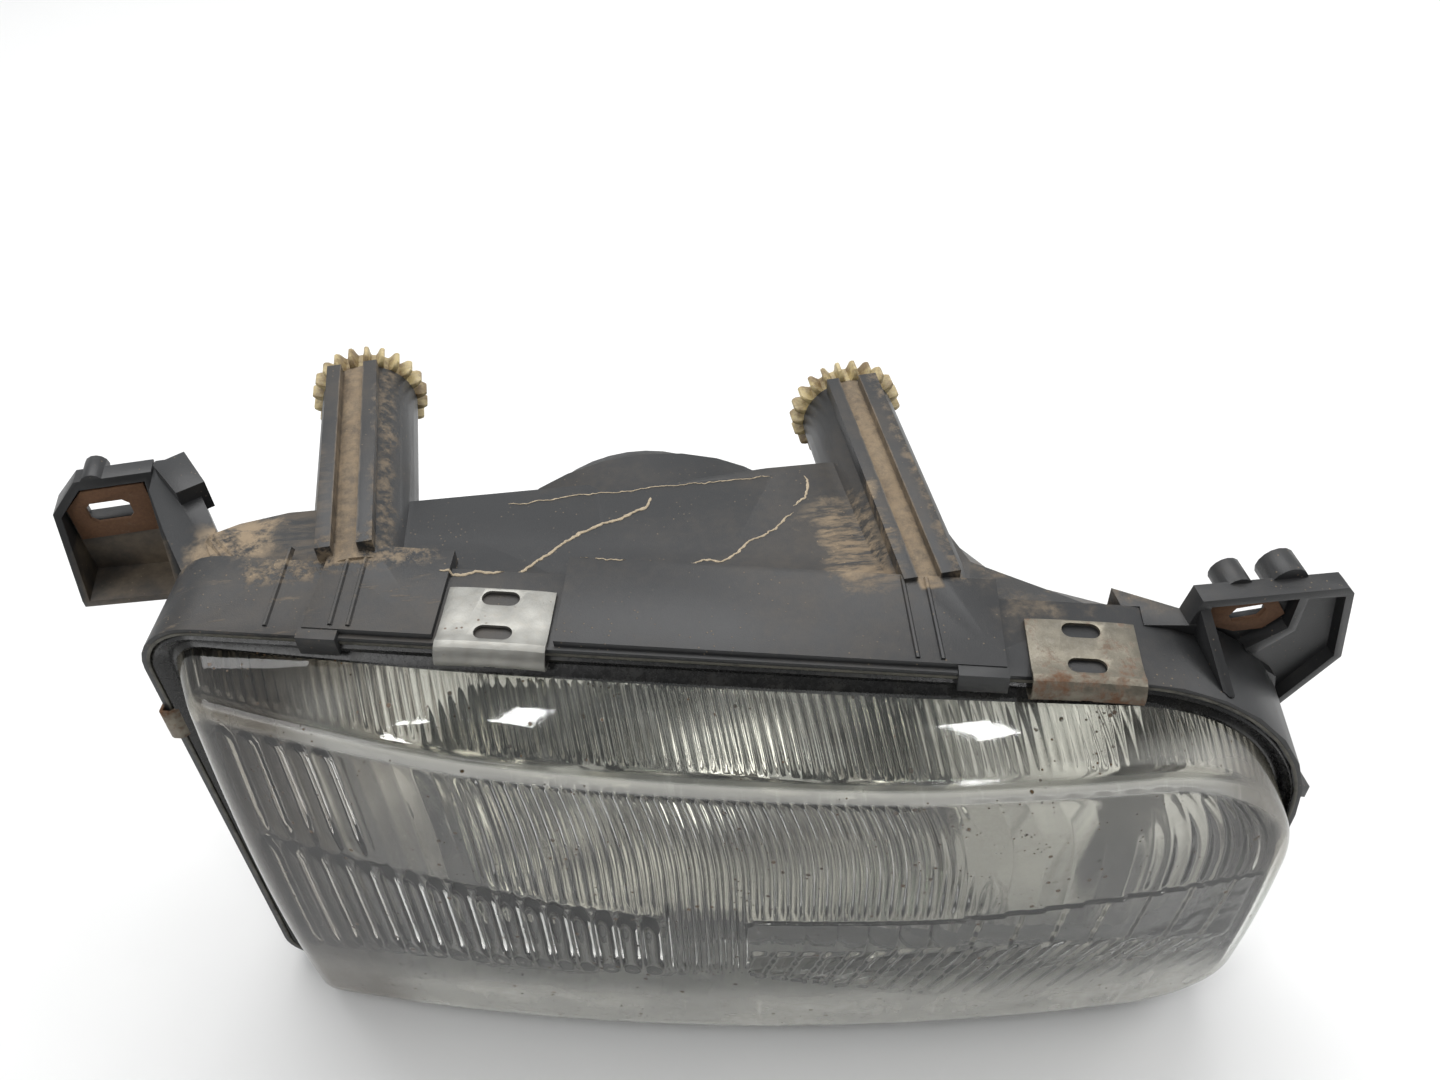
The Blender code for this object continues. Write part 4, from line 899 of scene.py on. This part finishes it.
def bowl_ring(angle, share, spare, back):
    """A ring on the bowl between its hole and its edge, moved out and back."""
    radius = HOLE_RADIUS + (bowl_reach(angle) - HOLE_RADIUS) * share
    y = BOWL_VERTEX_Y - radius**2 / (4 * BOWL_FOCUS) + back
    radius = radius + spare
    return np.column_stack([AXIS_X + radius * np.cos(angle), y, AXIS_Z + radius * np.sin(angle)])


def edge_ring(angle, spare, depth):
    """The bowl's edge, moved out, in a plane parallel to the rim's."""
    radius = bowl_reach(angle) + spare
    x = AXIS_X + radius * np.cos(angle)
    z = AXIS_Z + radius * np.sin(angle)
    y = RIM_Y - math.tan(RIM_SWEEP) * x + depth / math.cos(RIM_SWEEP)
    return np.column_stack([x, y, z])


def make_reflector():
    """A sheet bowl with a flange round it and a neck round the bulb's hole."""
    counts = (110, 60, 110, 60)
    angle = around(counts, REFLECTOR_INSET)
    front = REFLECTOR_SETBACK
    rings = [
        rim_ring(REFLECTOR_INSET, front + FLANGE, counts),
        rim_ring(REFLECTOR_INSET, front + 0.0008, counts),
        rim_ring(REFLECTOR_INSET + 0.0008, front, counts),
        edge_ring(angle, 0.0012, front + 0.0010),
        edge_ring(angle, 0.0, front + 0.0022),
    ]
    rings += [bowl_ring(angle, share, 0.0, 0.0) for share in np.linspace(1.0, 0.0, 26)]
    rings += [
        bowl_ring(angle, 0.0, 0.0, FLANGE),
        bowl_ring(angle, 0.0, NECK, FLANGE),
        bowl_ring(angle, 0.0, NECK, 0.0022),
    ]
    rings += [bowl_ring(angle, share, SHEET, 0.0022 - 0.0006 * share) for share in np.linspace(0.15, 1.0, 12)]
    rings += [
        edge_ring(angle, SHEET, front + 0.0010 + SHEET),
        rim_ring(REFLECTOR_INSET + SHEET, front + 0.0010 + SHEET, counts),
        rim_ring(REFLECTOR_INSET + SHEET, front + FLANGE, counts),
    ]
    replaced = ("reflector_bowl",)
    swept("reflector_mirror", rings, "reflector", MIRROR, replaced, loop=True, sharp=40)


make_reflector()


# ---------------------------------------------------------------- housing and its small parts
refined("housing_shell", "lamp_body", PLASTIC, 0.0006)
for name in ("mounting_ear_left", "mounting_ear_right"):
    refined(name, "lamp_body", PLASTIC, 0.0005)
for name in ("ear_insert_left", "ear_insert_right"):
    refined(name, "lamp_body", RUST_PLATE, 0.0002)
refined("dust_cap", "rear_cap", RUBBER, 0.0004)
refined("vent_cap", "lamp_body", RUBBER, 0.0003)
refined("connector_shell", "lamp_body", GREY, 0.0003)
refined("parking_holder", "side_light", GREY, 0.0003)

BLADES = [f"{kind}_{number}" for kind in ("bulb_terminal", "connector_pin") for number in (1, 2, 3)]
AIMING = [f"{kind}_{side}" for kind in ("adjuster_nut", "ball_socket") for side in TUBES]
CARRIED = (  # the nodes that keep their own shape, by material
    (SEAL, ["lens_gasket"]),
    (RUBBER, ["dust_cap_seal"]),
    (MIRROR, ["bulb_shield"]),
    (QUARTZ, ["bulb_glass", "parking_bulb"]),
    (STEEL, ["bulb_base", "bulb_spring", "adjuster_screw_left", "adjuster_screw_right"]),
    (BRASS, BLADES),
    (NYLON, AIMING + ["pivot_post", "pivot_socket"]),
)
for material, names in CARRIED:
    for name in names:
        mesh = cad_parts[name].data
        mesh.materials.clear()
        mesh.materials.append(material)


# ---------------------------------------------------------------- spring clips
CLIP_WIDTH = 0.0335
CLIP_SHEET = 0.0011
CLIP_SLOTS = (0.0042, 0.0182)  # depths of their middles behind the rim's front
SLOT_RADIUS = 0.0029
SLOT_REACH = 0.0030  # from a slot's middle to the middle of its round end
CLIP_NOTCH = ((-0.0024, -0.0075), (0.0024, -0.0075), (0.0017, -0.0042), (-0.0017, -0.0042))  # along, height
CLIP_PATH = (  # the middle of the sheet: depth behind the rim's front, height above the rim
    (0.0222, 0.0009),
    (0.0080, 0.0009),
    (0.0020, 0.0012),
    (-0.0004, 0.0020),
    (-0.0022, 0.0014),
    (-0.0036, -0.0004),
    (-0.0042, -0.0026),
    (-0.0039, -0.0044),
    (-0.0026, -0.0058),
    (-0.0002, -0.0067),
    (0.0026, -0.0070),
)


def rim_place(u, z, depth):
    """A point given along the rim, up, and back from the rim's plane."""
    x = u * math.cos(RIM_SWEEP) + depth * math.sin(RIM_SWEEP)
    return (x, RIM_Y - u * math.sin(RIM_SWEEP) + depth * math.cos(RIM_SWEEP), z)


def edge_placer(edge, along):
    """Places a point given by depth, height above one straight edge of the rim, and distance along it."""
    start = Vector(RIM_CORNERS[edge][:2])
    run = (Vector(RIM_CORNERS[(edge + 1) % 4][:2]) - start).normalized()
    out = Vector((run.y, -run.x))

    def place(depth, height, t):
        spot = start + run * (along + t) + out * height
        return rim_place(spot.x, spot.y, depth)

    return place


def carve(made, rings):
    """Cuts the shape between matching rings of points, given in the lamp's own frame, from a piece."""
    points = [point for ring in rings for point in ring]
    tool = bpy.data.objects.new("cutter", closed_mesh("cutter", points, ring_faces(rings, False)))
    bpy.context.scene.collection.objects.link(tool)
    cut = made.modifiers.new("cut", "BOOLEAN")
    cut.operation = "DIFFERENCE"
    cut.solver = "EXACT"
    cut.object = tool
    bpy.context.view_layer.update()
    apply_modifiers(made)
    bpy.data.objects.remove(tool)


def bent_clip(name, along, material):
    """A sheet folded over the rim's top edge, with two slots and a notch."""
    place = edge_placer(2, along)
    path = np.array(CLIP_PATH)
    ahead = np.gradient(path, axis=0)
    side = np.column_stack([-ahead[:, 1], ahead[:, 0]]) / np.linalg.norm(ahead, axis=1)[:, None]
    outline = np.vstack([path + side * CLIP_SHEET / 2, (path - side * CLIP_SHEET / 2)[::-1]])
    rings = []
    for t in np.linspace(-CLIP_WIDTH / 2, CLIP_WIDTH / 2, 13):
        sag = 0.0005 * (2 * t / CLIP_WIDTH) ** 4
        rings.append([place(depth, height - sag, t) for depth, height in outline])
    made = swept(f"{name}_sheet", rings, "lamp_body", material, (name,))
    for depth in CLIP_SLOTS:
        loop = []
        for way in (1, -1):
            for k in range(11):
                turn = math.pi * (k / 10 - 0.5)
                out = SLOT_REACH + SLOT_RADIUS * math.cos(turn)
                loop.append((way * out, way * SLOT_RADIUS * math.sin(turn)))
        carve(made, [[place(depth + b, h, a) for a, b in loop] for h in (-0.0012, 0.0036)])
    carve(made, [[place(depth, b, a) for a, b in CLIP_NOTCH] for depth in (-0.0070, 0.0060)])
    soften(made, 0.0003)


TOP_LENGTH = (Vector(RIM_CORNERS[2][:2]) - Vector(RIM_CORNERS[3][:2])).length
CLIP_LEFT = 0.1119  # from the rim's top outer corner, along its top edge
CLIP_RIGHT = 0.2900
bent_clip("spring_clip_top_left", TOP_LENGTH - CLIP_LEFT, CLEAN_ZINC)
bent_clip("spring_clip_top_right", TOP_LENGTH - CLIP_RIGHT, RUSTY_ZINC)
for name in ("spring_clip_bottom_left", "spring_clip_bottom_right", "spring_clip_side"):
    refined(name, "lamp_body", RUSTY_ZINC, 0.0003)


# ---------------------------------------------------------------- sealant between the lip and the glass
SEAL_POINTS = (170, 70, 170, 70)
BEAD = (  # distance in from the rim's outline, depth behind its front
    (0.0014, 0.0004),
    (0.0016, -0.0003),
    (0.0021, -0.0004),
    (0.0026, -0.0002),
    (0.0028, 0.0008),
    (0.0026, 0.0030),
    (0.0018, 0.0030),
)
BAND_ON_RIM = ((0.0050, 0.0042), (0.0029, 0.0030), (0.0029, 0.0004), (0.0038, -0.0008))
BAND_ON_GLASS = (  # share of the way up the glass wall, distance out from it
    (0.10, 0.0019),
    (0.17, 0.0012),
    (0.21, 0.0004),
    (0.21, -0.0003),
    (0.03, -0.0003),
)


def glass_wall(share, out):
    """A ring on the outside of the glass wall, moved out by a little."""
    start = rim_ring(*WALL_FOOT, SEAL_POINTS)
    ridge = RIDGE_RADIUS * (1 - math.sin(math.radians(RIDGE_START)))
    ring = start * (1 - share) + face_ring(0.0, ridge, SEAL_POINTS) * share
    away = np.column_stack([ring[:, 0] - AXIS_X, np.zeros(len(ring)), ring[:, 2] - AXIS_Z])
    return ring + away / np.linalg.norm(away, axis=1)[:, None] * out


bead = [rim_ring(distance, depth, SEAL_POINTS) for distance, depth in BEAD]
swept("old_sealant_bead", bead, "lamp_body", SEALANT, loop=True)
band = [rim_ring(distance, depth, SEAL_POINTS) for distance, depth in BAND_ON_RIM]
band += [glass_wall(share, out) for share, out in BAND_ON_GLASS]
swept("black_seal_band", band, "lamp_body", GLOSSY_BLACK, loop=True)


# ---------------------------------------------------------------- moulded lines and dried mud
SKIRT_LINES = (  # along the rim, height of the surface above the skirt, lean
    (-0.1310, 0.0, -0.05),
    (-0.1105, PAD_HEIGHT, -0.06),
    (-0.1050, PAD_HEIGHT, -0.06),
    (0.0660, PAD_HEIGHT, -0.10),
    (0.0735, PAD_HEIGHT, -0.10),
)
LINE_SECTION = ((-0.0012, -0.0006), (-0.00036, 0.0007), (0.00036, 0.0007), (0.0012, -0.0006))  # across, up


def rim_top(u):
    """The height of the rim's top edge."""
    slope = (RIM_CORNERS[2][1] - RIM_CORNERS[3][1]) / (RIM_CORNERS[2][0] - RIM_CORNERS[3][0])
    return RIM_CORNERS[3][1] + slope * (u - RIM_CORNERS[3][0])


def skirt_line(name, u, base, lean):
    """A thin moulded rib across the skirt, in line with a rib on the tube behind it."""
    rings = []
    for depth in np.linspace(0.0030, 0.0360, 9):
        middle = u + lean * depth
        top = rim_top(middle) + base
        rings.append([rim_place(middle + across, top + up, depth) for across, up in LINE_SECTION])
    swept(name, rings, "lamp_body", PLASTIC)


for number, (u, base, lean) in enumerate(SKIRT_LINES):
    skirt_line(f"skirt_line_{number}", u, base, lean)

shell_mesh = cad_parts["housing_shell"].data
shell_points = [vertex.co for vertex in shell_mesh.vertices]
SHELL = BVHTree.FromPolygons(shell_points, [tuple(face.vertices) for face in shell_mesh.polygons])


def dropped(x, y):
    """The point on top of the housing at a spot in the lamp's own frame, and the surface's normal."""
    hit, normal, _, _ = SHELL.ray_cast(at(x, y, 0.35), Vector((0, 0, -1)))
    return np.array(hit) - SHIFT, np.array(normal)


def mud_streak(name, route, width, height):
    """A low ragged ridge of dried mud along a wandering line on the housing."""
    route = np.array(route) / 1000
    along = np.concatenate([[0], np.cumsum(np.linalg.norm(np.diff(route, axis=0), axis=1))])
    where = np.arange(0, along[-1], 0.0006)
    track = np.column_stack([np.interp(where, along, route[:, k]) for k in range(2)])
    for k, (x, y) in enumerate(track.copy()):
        wander = noise.noise_vector(Vector((x * 160, y * 160, 1.7))) * 0.0014
        wander += noise.noise_vector(Vector((x * 700, y * 700, 4.1))) * 0.0005
        track[k] = (x + wander.x, y + wander.y)
    ahead = np.gradient(track, axis=0)
    side = np.column_stack([-ahead[:, 1], ahead[:, 0]]) / (np.linalg.norm(ahead, axis=1)[:, None] + 1e-9)
    rings = []
    for k, (x, y) in enumerate(track):
        ragged = 0.55 + 0.9 * abs(noise.noise(Vector((x * 420, y * 420, 9.0))))
        taper = math.sqrt(min(1.0, k / 6, (len(track) - 1 - k) / 6)) * 0.94 + 0.06
        half = 0.5 * width * ragged * taper
        flank = 0.5 * height * taper
        section = ((-1.0, -0.0003), (-0.7, flank), (0.0, height * taper), (0.7, flank), (1.0, -0.0003))
        ring = []
        for part, lift in section:
            spot, normal = dropped(x + side[k, 0] * half * part, y + side[k, 1] * half * part)
            ring.append(spot + normal * lift)
        rings.append(ring)
    swept(name, rings, "lamp_body", MUD)


MUD_STREAKS = (  # x and y of each turn in the lamp's own frame in mm, width, height
    (((-74, -26), (-53, -28), (-42, -20), (-33, -10), (-18, -4), (-6, 1), (-4, 7)), 0.0017, 0.00040),
    (((2, -30), (8, -28), (16, -29), (24, -22), (36, -15), (44, -8)), 0.0012, 0.00030),
    (((51, 12), (52, 5), (50, -1), (44, -5)), 0.0013, 0.00030),
    (((-52, 10), (-20, 12), (10, 12), (40, 12)), 0.0007, 0.00018),
    (((-30, -28), (-10, -31), (-2, -30)), 0.0008, 0.00020),
)
noise.seed_set(1)  # noise_vector's offsets change from run to run unless they are seeded
for number, (route, width, height) in enumerate(MUD_STREAKS):
    mud_streak(f"mud_streak_{number}", route, width, height)


# ---------------------------------------------------------------- aiming gears
GEAR_TEETH = 22
GEAR_TIP = 0.0212
GEAR_ROOT = 0.0170
GEAR_WIDTH = 0.0085
GEAR_BORE = 0.0046
GEAR_FACE = 0.0150
TOOTH = (  # share of the pitch from the tooth's middle, radius
    (-0.34, GEAR_ROOT - 0.0004),
    (-0.26, GEAR_ROOT + 0.0006),
    (-0.15, GEAR_TIP - 0.0006),
    (-0.08, GEAR_TIP),
    (0.08, GEAR_TIP),
    (0.15, GEAR_TIP - 0.0006),
    (0.26, GEAR_ROOT + 0.0006),
    (0.34, GEAR_ROOT - 0.0004),
)


def make_gear(side):
    """A gear whose teeth thin towards their tips, with a ridged hub round its bore."""
    x, z, _, rear = TUBES[side]
    start = rear + 0.0003
    pitch = 2 * math.pi / GEAR_TEETH

    def ring(y, radius=None, scale=1.0, trim=0.0):
        """A round ring, or one that follows teeth of a scaled height."""
        points = []
        for k in range(GEAR_TEETH):
            for part, out in TOOTH:
                turn = pitch * (k + part)
                if radius is None:
                    far = GEAR_ROOT + (out - GEAR_ROOT) * scale - trim
                else:
                    far = radius
                points.append((x + far * math.cos(turn), y, z + far * math.sin(turn)))
        return points

    end = start + GEAR_WIDTH
    rings = [
        ring(start, GEAR_BORE),
        ring(start, GEAR_FACE),
        ring(start, scale=0.55, trim=0.0004),
        ring(start + 0.0005, scale=0.75),
        ring(start + 0.0016),
        ring(end - 0.0016),
        ring(end - 0.0005, scale=0.75),
        ring(end, scale=0.50, trim=0.0005),
        ring(end, GEAR_FACE),
        ring(end - 0.0012, 0.0142),
        ring(end - 0.0012, 0.0128),
        ring(end, 0.0122),
        ring(end - 0.0004, 0.0116),
        ring(end - 0.0023, 0.0112),
        ring(end - 0.0023, GEAR_BORE),
    ]
    swept(f"gear_{side}", rings, f"adjuster_{side}", NYLON, (f"adjuster_gear_{side}",), True, 40)


for side in TUBES:
    make_gear(side)


# ---------------------------------------------------------------- floor, light and camera
floor_mesh = bpy.data.meshes.new("floor")
floor_mesh.from_pydata([(-3, -3, 0), (3, -3, 0), (3, 3, 0), (-3, 3, 0)], [], [(0, 1, 2, 3)])
floor = bpy.data.objects.new("floor", floor_mesh)
bpy.context.scene.collection.objects.link(floor)
floor_look, ground = new_look("pale_floor")
ground.set(
    Base_Color=ground.mix(ground.noise(3.0, 4.0, 0.6), (0.80, 0.795, 0.785), (0.84, 0.838, 0.83)),
    Roughness=ground.step(ground.noise(40.0), 0.3, 0.8, 0.50, 0.62),
    Normal=ground.bump(ground.noise(350.0, 4.0, 0.6), 0.05, 0.0006),
)
floor_mesh.materials.append(floor_look)


def area_light(name, place, target, size, power):
    """A rectangular lamp that points at a target."""
    light = bpy.data.lights.new(name, "AREA")
    light.shape = "RECTANGLE"
    light.size, light.size_y = size
    light.energy = power
    lamp = bpy.data.objects.new(name, light)
    lamp.location = place
    lamp.rotation_euler = (Vector(target) - Vector(place)).to_track_quat("-Z", "Y").to_euler()
    bpy.context.scene.collection.objects.link(lamp)


area_light("sky_light", (0.0, 0.75, 1.7), (0, 0, 0.1), (1.8, 1.2), 26)
area_light("front_light", (-1.1, -1.0, 1.4), (0, 0, 0.1), (0.9, 0.9), 8)
area_light("side_light", (1.4, 0.1, 1.2), (0, 0, 0.1), (0.8, 1.0), 7)
area_light("lens_light_left", (-0.25, -0.37, 1.12), (-0.08, -0.07, 0.19), (0.04, 0.12), 0.5)
area_light("lens_light_right", (0.245, -0.66, 1.10), (0.085, -0.10, 0.19), (0.06, 0.14), 0.7)


# A pale room: bright behind and overhead, dark in front, where the viewer stands
world = bpy.data.worlds.new("studio")
bpy.context.scene.world = world
sky = Look(world, "Background", "Generated")
sky.set(
    Color=sky.mix(sky.step(sky.parts(sky.place)[1], -0.15, -0.80), (0.92, 0.94, 0.96), (0.10, 0.10, 0.095)),
    Strength=sky.step(sky.noise(1.6, 2.0, 0.5), 0.35, 0.65, 0.55, 0.95, "LINEAR"),
)
sky.tree.links.new(sky.shader.outputs[0], sky.tree.nodes["World Output"].inputs[0])

CAMERA_LENS = 31.71
CAMERA_TILT = (45.104, 2.294, -10.023)
camera_data = bpy.data.cameras.new("camera")
camera_data.lens = CAMERA_LENS
camera_data.sensor_width = 36.0
camera_data.clip_start = 0.01
camera = bpy.data.objects.new("camera", camera_data)
camera.location = at(-0.0240, -0.3150, 0.4910)
camera.rotation_euler = [math.radians(a) for a in CAMERA_TILT]
bpy.context.scene.collection.objects.link(camera)
bpy.context.scene.camera = camera
bpy.context.scene.view_settings.view_transform = "Standard"
bpy.context.scene.view_settings.look = "None"
